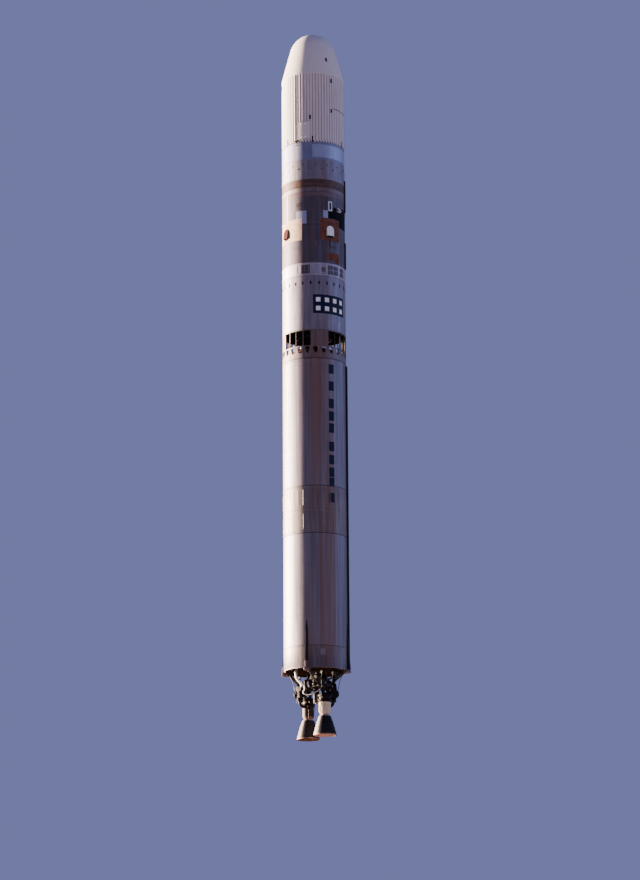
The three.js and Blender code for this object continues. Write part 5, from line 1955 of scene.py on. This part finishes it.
@dataclass
class EngineHalf(Assembly):
    """One thrust chamber with its frame, gimbal, actuators, turbopump and lines, built at the front."""

    side: Side
    chamber_y: float = -0.82
    gimbal_z: float = -0.8
    lever: float = 0.42
    actuators: tuple[tuple[str, float], ...] = (("a", -45.0), ("b", 45.0))
    # An actuator's barrel: its foot and head over the gimbal, its bore, and the height of its upper pin
    barrel_ends: Point = (0.19, 0.62)
    barrel_bore: float = 0.0248
    pin_z: float = -0.06
    # How far outside the barrel its feed tube runs
    feed_gap: float = 0.064
    # Its rod: radius, foot and head
    rod_r: float = 0.024
    rod_ends: Point = (0.03, 0.42)
    # Where the pump's two pipes meet the chamber's head, from the gimbal
    stubs: tuple[Point, ...] = ((0.25, 0.11), (0.06, 0.26))
    # The bell: heights under the gimbal and outer radii of its neck and its exit, and the power of its curve
    neck_z: float = -1.22
    exit_z: float = -2.16
    neck_r: float = 0.23
    exit_r: float = 0.542
    flare_power: float = 0.72
    bell_wall: float = 0.014
    # The jacket above it: heights under the gimbal of its foot and its head, and its two radii
    jacket_low: float = -1.08
    jacket_high: float = -0.3803
    jacket_r: float = 0.25
    jacket_inner: float = 0.205
    # The manifold round it: radius and height of its line, and its half width and half height
    manifold: Point = (0.272, -0.535)
    manifold_size: Point = (0.053, 0.06)
    # The blanket: its radius at the front and at the rear, where it begins and ends, the seams between its
    # pads, how far the pads bulge and where the straps lie
    front_blanket_r: float = 0.272
    rear_blanket_r: float = 0.256
    blanket_low: float = -1.076
    blanket_high: float = -0.616
    first_seam: float = -0.612
    pad_pitch: float = 0.117
    pad_bulge: float = 0.008
    strap_heights: tuple[float, ...] = (-0.729, -0.846, -0.963)
    # The thrust frame's tubes: radius, azimuth and height of their feet, and X and Z of their two heads
    frame_foot: Spot = (1.402, 45.0, 0.06)
    frame_heads: tuple[Point, ...] = ((0.288, -0.6), (-0.288, -0.55))
    # The turbopump: its middle, its turbine's radius, the head of its gearbox over the gimbal and half the
    # width of its volutes
    pump_x: float = 0.7
    pump_y: float = -0.33
    pump_z: float = -0.93
    turbine_r: float = 0.15
    gearbox_top: float = 0.1597
    volute_half: float = 0.065
    # Between the chambers: the tank's axis and ends, the pressure vessel's axis and foot
    tank_y: float = -0.31
    tank_z: float = -0.395
    tank_ends: Point = (-0.404, 0.204)
    vessel: Point = (-0.06, -0.15)
    vessel_low: float = -1.326

    @property
    def label(self) -> str:
        """Gives the word for this half in the names of nodes and pieces."""
        return self.side.name.lower()

    def either(self, front: Finish, rear: Finish) -> Finish:
        """Gives the finish that this half has of the two."""
        return front if self.side is Side.FRONT else rear

    def put(self, name: str, mesh: Mesh, finish: Finish, body: str = AIRFRAME,
            nodes: Sequence[str] = ()) -> None:
        """Turns a mesh that was built at the front to this half and adds it.

        Args:
            name: The piece's name without the side.
            mesh: Its shape at the front.
            finish: What it is coated with.
            body: The moving body that carries it, with {side} for the side.
            nodes: Frame nodes that it stands for, with {side} for the side.
        """
        replaced = [node.format(side=self.label) for node in nodes]
        carrier = body.format(side=self.label)
        self.add(f"{name}_{self.label}", turned(mesh, self.side.value), finish, carrier, replaced)

    def hang(self, name: str, mesh: Mesh, finish: Finish, nodes: Sequence[str] = ()) -> None:
        """Adds a piece that swings with the chamber, from a mesh made about the gimbal's centre."""
        self.put(name, self.at_chamber(mesh), finish, "thrust_chamber_{side}", nodes)

    def dress(self, kind: str, ending: str, bevel: float, finish: Finish, body: str = AIRFRAME) -> None:
        """Adds a softened copy of one of this half's nodes, which is at its place already.

        Args:
            kind: The node's name without the side.
            ending: What the piece's name ends with.
            bevel: Width of the softening.
            finish: What it is coated with.
            body: The moving body that carries it, with {side} for the side.
        """
        node = f"{kind}_{self.label}"
        self.add(f"{node}_{ending}", self.shop.softened(node, bevel), finish, body.format(side=self.label),
                 [node])

    def at_chamber(self, mesh: Mesh) -> Mesh:
        """Moves a mesh made about the gimbal's centre to the chamber."""
        return shifted(mesh, 0.0, self.chamber_y, self.gimbal_z)

    def build(self) -> None:
        """Builds the whole half."""
        self.nozzle()
        self.blanket()
        self.injector()
        self.dress("gimbal_cross", "forging", 0.003, Finish.STEEL, "gimbal_cross_{side}")
        self.frame()
        self.deck()
        self.pump()
        self.delivery()
        self.lines()
        self.small_parts()
        for letter, azimuth in self.actuators:
            self.actuator(letter, azimuth)

    def bell_line(self, share: float) -> Point:
        """Gives the bell's outer radius and height from the neck at 0 to the exit at 1."""
        radius = self.neck_r + (self.exit_r - self.neck_r) * share**self.flare_power
        return radius, self.neck_z + (self.exit_z - self.neck_z) * share

    def nozzle(self) -> None:
        """Builds the bell, its exit lip, its lining, its bands and the manifold ring round the chamber."""
        end, wall = self.exit_z, self.bell_wall
        flare = [self.bell_line(share) for share in evenly(0.0, 1.0, 18)]
        outline = [(self.jacket_r, self.jacket_high), (self.jacket_r, self.jacket_low), (0.235, -1.12),
                   (0.165, -1.18), (0.172, -1.2), *flare]
        outline += [(radius - wall, z) for radius, z in reversed(flare)]
        outline += [(0.14, -1.18), (self.jacket_inner, -1.01), (self.jacket_inner, self.jacket_high)]
        finish = self.either(Finish.BELL_FRONT, Finish.BELL_REAR)
        self.hang("bell", lathe(outline, 96, looped=True), finish, ["nozzle_{side}"])
        lip = [(0.53, end), (0.548, end), (0.548, end + 0.018), (0.544, end + 0.036), (0.528, end + 0.03)]
        self.hang("bell_lip", lathe(lip, 96, looped=True), Finish.EDGE)
        skin = [(radius - wall - 0.0005, z) for radius, z in flare]
        skin += [(radius - wall - 0.004, z) for radius, z in reversed(flare)]
        # The front bell's liner is the lighter salmon, painted light; the rear's is the darker inner skin
        self.hang("bell_liner", lathe(skin, 96, looped=True), self.either(Finish.LINER, Finish.INNER))
        bands = [hoop(z - 0.014, z + 0.014, radius + 0.016, radius - 0.008, 96, 0.004)
                 for radius, z in map(self.bell_line, (0.1, 0.36, 0.62, 0.84))]
        self.hang("bell_bands", gather(bands), finish)
        ring = arc(self.manifold, self.manifold_size, 0.0, 360.0, 16)[:-1]
        self.hang("manifold", lathe(ring, 64, looped=True), Finish.DARK_METAL)
        clips = [turned(block((0.02, 0.09, 0.012), (0.0, -0.285, z)), azimuth)
                 for azimuth in range(0, 360, 30) for z in (-0.472, -0.598)]
        self.hang("manifold_clips", gather(clips), Finish.STEEL)

    def blanket(self) -> None:
        """Builds the chamber's blanket with its straps and buckles, and the cloth and ring at its throat."""
        radius = self.front_blanket_r if self.side is Side.FRONT else self.rear_blanket_r
        seat = self.jacket_r + 0.0003
        bulges = [(radius + self.pad_bulge * abs(sin(pi * (z - self.first_seam) / self.pad_pitch)) ** 0.5, z)
                  for z in evenly(self.blanket_low, self.blanket_high, 40)]
        cloth = [(seat, self.blanket_low - 0.004), *bulges, (seat, self.blanket_high + 0.004)]
        wrap = self.either(Finish.CLOTH, Finish.REAR_WRAP)
        self.hang("blanket_cloth", lathe(cloth, 72, looped=True), wrap, ["chamber_blanket_{side}"])
        self.hang("blanket_straps", hoops(self.strap_heights, 0.018, radius + 0.004, radius - 0.003, 72),
                  wrap)
        buckles = [turned(block((0.034, 0.012, 0.026), (0.0, -radius - 0.002, z), 0.003), azimuth)
                   for azimuth in (-60.0, 60.0, 180.0) for z in self.strap_heights]
        self.hang("blanket_buckles", gather(buckles), Finish.STEEL)
        taper = [(0.252, -1.079), (0.254, -1.085), (0.24, -1.13), (0.17, -1.19), (0.16, -1.19),
                 (0.23, -1.115), (0.245, -1.079)]
        self.hang("throat_cloth", lathe(taper, 72, looped=True), wrap)
        neck = [(0.16, -1.189), (0.176, -1.189), (0.234, -1.216), (0.262, -1.262), (0.252, -1.262),
                (0.224, -1.222), (0.16, -1.2)]
        self.hang("neck_ring", lathe(neck, 72, looped=True), Finish.NECK)

    def injector(self) -> None:
        """Builds the injector head with its bolts and flanges, and the small pipes down from it."""
        self.dress("injector_head", "casting", 0.004, Finish.DARK_METAL, "thrust_chamber_{side}")
        bolts = gather([bolt_circle(0.3, -0.266, 24), bolt_circle(0.3, -0.384, 24, 0.01, 0.01)])
        self.hang("head_bolts", bolts, Finish.STEEL)
        flanges = [drum(0.062, 0.016, (x, y, -0.2), sides=24, bevel=0.003) for x, y in self.stubs]
        self.hang("inlet_flanges", gather(flanges), Finish.STEEL)
        # Columns: radius, degrees past the pipe's first azimuth, height
        feed = ((0.3, 0, -0.4), (0.345, 3, -0.44), (0.325, 6, -0.5))
        drain = ((0.3, 0, -0.59), (0.335, 2, -0.64), (0.3, 5, -0.9), (0.29, 6, -1.08), (0.24, 6, -1.2))
        for name, knots, azimuths, size in (("manifold_feeds", feed, (-100.0, 160.0), 0.02),
                                            ("chamber_drains", drain, (150.0, 210.0, 270.0), 0.012)):
            pipes = [tube([around(radius, azimuth + turn, z) for radius, turn, z in knots], size)
                     for azimuth in azimuths]
            self.hang(name, gather(pipes), Finish.STEEL)

    def frame(self) -> None:
        """Dresses the thrust frame and adds its sleeves and weld collars."""
        self.dress("thrust_frame", "tubes", 0.005, Finish.TUBE)
        radius, azimuth, height = self.frame_foot
        collars, sleeves = [], []
        for sign in (-1, 1):
            foot = around(radius, sign * azimuth, height)
            for x, z in self.frame_heads:
                line = Vector((sign * x, self.chamber_y, z)) - foot
                sleeves.append(rod(foot + line * 0.06, foot + line * 0.86, 0.0415))
                collars += [drum(0.047, 0.03, foot + line * share, line.normalized(), 20)
                            for share in (0.1, 0.3, 0.62)]
        self.put("frame_sleeves", gather(sleeves), Finish.STEEL)
        self.put("frame_collars", gather(collars), Finish.STEEL)

    def deck(self) -> None:
        """Dresses the equipment between the chambers: the tank, the box and the pressure vessel."""
        sideways = (1.0, 0.0, 0.0)
        straps = [drum(0.176, 0.03, (x, self.tank_y, self.tank_z), sideways, 40, 0.003)
                  for x in (-0.3, -0.1, 0.1)]
        straps.append(shifted(hoops((-1.22, -1.0, -0.78), 0.028, 0.127, 0.1, 40), *self.vessel, 0.0))
        self.put("deck_straps", gather(straps), Finish.STEEL)
        lids = [drum(0.12, 0.012, (x, self.tank_y, self.tank_z), sideways, 40, 0.003) for x in self.tank_ends]
        lids.append(block((0.32, 0.012, 0.29), (-0.05, -0.442, -0.125), 0.004))
        lids.append(drum(0.09, 0.02, (*self.vessel, self.vessel_low), bevel=0.004))
        self.put("deck_lids", gather(lids), Finish.DARK_METAL)
        screws = [drum(0.01, 0.008, (x, -0.452, z), OUTWARD, 6) for x in evenly(-0.19, 0.09, 4)
                  for z in (-0.25, 0.0)]
        screws.append(shifted(bolt_circle(0.07, self.vessel_low - 0.014, 8, 0.009, 0.01), *self.vessel, 0.0))
        self.put("deck_screws", gather(screws), Finish.BRIGHT)
        route = [(-0.38, -0.2, -0.41), (-0.64, -0.143, -0.42), (-0.707, -0.13, -0.56), (-0.7, -0.133, -0.76),
                 (-0.75, -0.09, -0.88), (-0.68, -0.1, -0.97), (-0.16, -0.25, -0.85), (0.03, -0.3, -0.7)]
        self.put("cross_pipe", tube(route, 0.028), Finish.WHITE)

    def pump(self) -> None:
        """Builds the turbopump: its gearbox, its two pumps and its turbine."""
        x, y, z = self.pump_x, self.pump_y, self.pump_z
        top = self.gimbal_z + self.gearbox_top
        gearbox = [block((0.2, 0.3, top - z + 0.16), (x, y, (top + z - 0.16) / 2), 0.018)]
        gearbox += [block((0.22, 0.02, 0.34), (x, y + step, z), 0.004) for step in (-0.07, 0.07)]
        gearbox += [block((0.216, 0.3, 0.016), (x, y, z + step), 0.004) for step in (-0.08, 0.06)]
        self.put("pump_gearbox", gather(gearbox), Finish.DARK_METAL, nodes=["turbopump_{side}"])
        volutes = []
        half = self.volute_half
        # Columns: middle along Y, radius, radius of the inlet, the inlet's middle in X and Y
        for middle, radius, neck, inlet in ((-0.535, 0.215, 0.09, (x, -0.535)),
                                            (-0.125, 0.19, 0.08, (x + 0.02, -0.12))):
            upper = [(radius, half * 0.25), (radius * 0.9, half * 0.8), (radius * 0.7, half), (0.0, half)]
            lower = [(reach, -height) for reach, height in reversed(upper)]
            wheel = moved(lathe([*lower, *upper], 48), Matrix.Rotation(pi / 2, 4, "X"))
            volutes.append(shifted(wheel, x, middle, z))
            volutes.append(drum(neck, top - z - 0.1, (*inlet, (top + z + 0.1) / 2)))
            volutes.append(drum(neck + 0.02, 0.02, (*inlet, top - 0.012), bevel=0.003))
        self.put("pump_volutes", gather(volutes), Finish.DARK_METAL)
        turbine = [drum(self.turbine_r, 0.22, (x, y, z - 0.26), sides=48, bevel=0.012)]
        turbine += [drum(self.turbine_r + 0.02, 0.02, (x, y, z - drop), sides=48, bevel=0.003)
                    for drop in (0.2, 0.34)]
        self.put("pump_turbine", gather(turbine), Finish.WRAP)
        bolts = gather(bolt_circle(self.turbine_r + 0.011, z - drop, 18, 0.008, 0.008)
                       for drop in (0.188, 0.352))
        self.put("turbine_bolts", shifted(bolts, x, y, 0.0), Finish.BRIGHT)

    def delivery(self) -> None:
        """Builds the delivery pipes from the pumps to the chamber with their bellows."""
        z, foot = self.pump_z, self.gimbal_z - 0.1
        roof, bend = self.gimbal_z + 0.05, self.gimbal_z + 0.075
        places = [(x, y + self.chamber_y) for x, y in self.stubs]
        (ax, ay), (bx, by) = places
        routes = [
            [(ax, ay, roof - 0.02), (ax + 0.03, ay + 0.015, bend), (0.44, -0.64, bend - 0.025),
             (0.56, -0.56, z + 0.06), (0.64, -0.545, z)],
            [(bx, by, roof - 0.02), (bx + 0.04, by + 0.03, bend), (0.33, -0.33, bend), (0.56, -0.16, z + 0.1),
             (0.64, -0.13, z)],
        ]
        self.put("delivery_pipes", gather(tube(route, 0.05, 8, 6) for route in routes), Finish.DARK_METAL)
        folds, flanges = [], []
        for x, y in places:
            skin = [(0.08 + 0.006 * sin(index * pi / 2), z) for index, z in enumerate(evenly(foot, roof, 36))]
            loop = [*skin, (0.0, roof), (0.0, self.gimbal_z + 0.02), (0.072, self.gimbal_z + 0.02),
                    (0.072, foot)]
            folds.append(shifted(lathe([*loop, loop[0]], 40), x, y, 0.0))
            flanges.append(shifted(hoop(roof - 0.012, roof + 0.002, 0.092, 0.02, 32, 0.003), x, y, 0.0))
        self.put("bellows", gather(folds), Finish.STEEL)
        self.put("bellows_flanges", gather(flanges), Finish.DARK_METAL)

    def lines(self) -> None:
        """Builds the two suction lines with their collars, and the exhaust duct."""
        top = self.gimbal_z + 0.1603
        oxidiser = [(0.3, -0.25, 0.6), (0.3, -0.25, 0.42), (0.31, -0.257, -0.17), (0.59, -0.46, -0.42),
                    (0.7, -0.54, -0.5), (0.7, -0.54, top)]
        fuel = [(0.95, -0.24, 0.72), (0.95, -0.24, 0.3), (0.93, -0.23, -0.15), (0.75, -0.135, -0.42),
                (0.72, -0.12, -0.5), (0.72, -0.12, top)]
        # The fuel line is white on the rear half, in the key light, and near black on the front half: painted
        # light and painted shade on the same pipe
        for name, route, finish in (("oxidiser_line", oxidiser, Finish.WRAP),
                                    ("fuel_line", fuel, self.either(Finish.WRAP, Finish.WHITE))):
            self.put(f"{name}_pipe", tube(route, 0.065, 10, 6), finish, nodes=[name + "_{side}"])
            head, foot = route[1][:2], route[-1][:2]
            rings = [drum(0.082, 0.02, (*foot, z), bevel=0.003) for z in (top + 0.012, top + 0.05)]
            rings += [drum(0.08, 0.02, (*head, z), bevel=0.003) for z in (0.06, 0.3)]
            rings += [drum(0.074, 0.012, (*head, z), bevel=0.004) for z in evenly(0.1, 0.26, 6)]
            self.put(f"{name}_collars", gather(rings), Finish.STEEL)
        x, y, z = self.pump_x, self.pump_y, self.pump_z
        duct = [(x, y, z - 0.3703), (x, y, z - 0.44), (0.6, -0.28, z - 0.56), (0.42, -0.18, z - 0.62),
                (0.26, -0.09, z - 0.72)]
        self.put("exhaust_pipe", tube(duct, 0.068, 10, 6), Finish.DARK_METAL, nodes=["exhaust_duct_{side}"])
        self.put("exhaust_flange", drum(0.085, 0.016, (x, y, z - 0.381), bevel=0.003), Finish.STEEL)

    def small_parts(self) -> None:
        """Adds the start bottles with their carriers and pipes, and the two harnesses."""
        bottles = [drum(0.09, 0.34, (-0.62, -0.56, -0.52), bevel=0.03),
                   drum(0.07, 0.3, (-0.8, -0.4, -0.5), bevel=0.024)]
        self.put("start_bottles", gather(bottles), Finish.DARK_METAL)
        parts = [
            rod((-0.62, -0.56, -0.36), (-0.5, -0.75, -0.3), 0.014),
            rod((-0.8, -0.4, -0.36), (-0.62, -0.56, -0.38), 0.014),
            tube([(-0.62, -0.56, -0.7), (-0.5, -0.6, -0.78), (-0.3, -0.52, -0.7), (-0.12, -0.3, -0.62),
                  (0.3, -0.33, -0.62), (0.6, -0.33, -0.7)], 0.014),
            tube([(-0.8, -0.4, -0.66), (-0.66, -0.3, -0.76), (-0.34, -0.12, -0.68), (-0.06, 0.0, -0.64),
                  (0.2, -0.08, -0.66), (0.5, -0.2, -0.7)], 0.012),
            tube([(0.8, -0.36, -1.0), (0.9, -0.42, -0.8), (0.94, -0.6, -0.3), (0.96, -0.9, 0.02)], 0.014),
        ]
        self.put("start_pipes", gather(parts), Finish.STEEL)
        harness = [
            tube([(-0.28, -0.9, -0.5), (-0.5, -0.95, -0.3), (-0.75, -0.98, -0.1), (-0.96, -0.98, 0.1),
                  (-1.02, -1.02, 0.3)], 0.016),
            tube([(0.28, -0.9, -0.5), (0.5, -0.95, -0.28), (0.75, -0.98, -0.08), (0.96, -0.98, 0.12),
                  (1.02, -1.02, 0.3)], 0.016),
        ]
        self.put("harness", gather(harness), Finish.HOSE)

    def actuator(self, letter: str, azimuth: float) -> None:
        """Builds one actuator: its barrel on the frame and its rod on its own body.

        Args:
            letter: What tells it from the other one.
            azimuth: Its place round the chamber.
        """
        eye = around(self.lever, azimuth)
        (low, high), bore = self.barrel_ends, self.barrel_bore
        head = self.pin_z - self.gimbal_z
        shape = [(bore, low), (0.05, low), (0.055, low + 0.006), (0.055, low + 0.05), (0.049, low + 0.056),
                 (0.049, high - 0.06), (0.055, high - 0.054), (0.055, high - 0.006), (0.05, high),
                 (0.0, high), (0.0, 0.48), (bore, 0.48)]
        beside = around(self.lever + self.feed_gap, azimuth)
        barrel = [
            shifted(lathe([*shape, shape[0]], 40), *eye),
            block((0.04, 0.072, head - high + 0.036), (*eye.xy, (head + high + 0.036) / 2), 0.004),
            drum(0.018, 0.09, (*eye.xy, head), (1.0, 0.0, 0.0), 20),
            rod((*beside.xy, low + 0.03), (*beside.xy, high - 0.03), 0.012),
            block((0.05, 0.05, 0.09), (*beside.xy, high - 0.08), 0.006),
        ]
        node = "actuator_barrel_{side}_" + letter
        self.put(f"actuator_{letter}_barrel", self.at_chamber(gather(barrel)), Finish.BLACK, nodes=[node])
        body = "actuator_rod_{side}_" + letter
        foot, top = self.rod_ends
        shaft = [(0.0, foot), (self.rod_r, foot), (self.rod_r, top - 0.002), (self.rod_r - 0.002, top),
                 (0.0, top)]
        turn = Matrix.Rotation(radians(azimuth), 4, "Z") @ Matrix.Rotation(pi / 2, 4, "Y")
        ring = moved(hoop(-0.018, 0.018, 0.038, 0.022, 36, 0.003), turn)
        rods = shifted(gather([lathe(shaft, 32), ring]), *eye)
        # The front rods are darker than the rear ones: painted shade on the front half
        finish = self.either(Finish.DARK_METAL, Finish.STEEL)
        self.put(f"actuator_{letter}_rod", self.at_chamber(rods), finish, body, [body])


# Studio


@dataclass
class Studio(Assembly):
    """The plain pale floor, the soft light and the camera at the photograph's viewing angle."""

    azimuth: float = -28.5
    distance: float = 134.9
    side_shift: float = 0.247
    camera_z: float = -22.26
    pitch: float = 14.0
    roll: float = 0.37
    focal_px: float = 2900.0
    image_height: float = 880.0
    sensor: float = 36.0
    far_end: float = 2000.0
    floor_z: float = -23.9
    floor_size: float = 1600.0
    # Columns: name, azimuth, elevation, strength, spread in degrees and colour of the key and the fill
    suns: tuple[tuple[str, float, float, float, float, str], ...] = (
        ("key", -139.5, 2.4, 58.0, 8.0, "ffe2c6"), ("fill", 62.0, 14.0, 0.7, 60.0, "a4beff"))
    sky: str = "9ca2ec"
    sky_strength: float = 0.5

    def build(self) -> None:
        """Builds the studio: a warm key from the left, a cool fill from the right and pale surroundings."""
        self.floor()
        for sun in self.suns:
            self.sun(*sun)
        self.surroundings()
        self.camera()

    def floor(self) -> None:
        """Lays the floor."""
        mesh = bmesh.new()
        bmesh.ops.create_grid(mesh, x_segments=8, y_segments=8, size=self.floor_size / 2,
                              matrix=Matrix.Translation((0.0, 0.0, self.floor_z)))
        data = bpy.data.meshes.new("floor")
        mesh.to_mesh(data)
        mesh.free()
        data.materials.append(self.shop.coat(Finish.FLOOR))
        shown("floor", data)

    def sun(self, name: str, azimuth: float, elevation: float, strength: float, spread: float,
            colour: str) -> None:
        """Adds a distant soft light.

        Args:
            name: The light's name.
            azimuth: Where it comes from round the rocket.
            elevation: How high it stands, in degrees.
            strength: Its power in watts per square metre.
            spread: The angle in degrees that it fills, which softens its shadows.
            colour: Its hex colour.
        """
        lamp = bpy.data.lights.new(name, "SUN")
        lamp.energy = strength
        lamp.angle = radians(spread)
        lamp.color = linear(colour)[:3]
        source = around(cos(radians(elevation)), azimuth, sin(radians(elevation)))
        shown(name, lamp).rotation_euler = source.to_track_quat("Z", "Y").to_euler()

    def surroundings(self) -> None:
        """Sets the pale sky that lights the shadows."""
        world = bpy.data.worlds.new("studio")
        bpy.context.scene.world = world
        world.use_nodes = True
        tree = world.node_tree
        tree.nodes.clear()
        glow = add_node(tree, "ShaderNodeBackground", {"Color": self.sky, "Strength": self.sky_strength})
        add_node(tree, "ShaderNodeOutputWorld", {"Surface": glow.outputs[0]})

    def camera(self) -> None:
        """Sets the camera where the photograph was taken from."""
        lens = bpy.data.cameras.new("camera")
        lens.sensor_width = self.sensor
        lens.lens = self.focal_px * self.sensor / self.image_height
        lens.clip_end = self.far_end
        holder = shown("camera", lens)
        outward = around(1.0, self.azimuth)
        right = Vector((-outward.y, outward.x, 0.0))
        holder.location = outward * self.distance + right * self.side_shift + UP * self.camera_z
        ahead = -outward * cos(radians(self.pitch)) + UP * sin(radians(self.pitch))
        turn = ahead.to_track_quat("-Z", "Y").to_matrix() @ Matrix.Rotation(radians(-self.roll), 3, "Z")
        holder.rotation_euler = turn.to_euler()
        bpy.context.scene.camera = holder


def main() -> None:
    """Builds the rocket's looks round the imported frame."""
    logging.basicConfig(level=logging.INFO, format="%(message)s")
    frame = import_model()
    shop = Workshop(frame)
    builders: list[Callable[[], None]] = [
        Studio(shop).build,
        ClosedSections(shop).build,
        AftSkirt(shop).build,
        Interstage(shop).build,
        UpperEngine(shop).build,
        Fairing(shop).build,
        SecondStageFittings(shop).build,
        Raceways(shop).build,
        TrackingMarks(shop).build,
        EngineHalf(shop, Side.FRONT).build,
        EngineHalf(shop, Side.REAR).build,
    ]
    for build in builders:
        build()
    LOG.info("%d pieces, %d triangles", shop.pieces, shop.triangles)


if __name__ == "__main__":
    main()
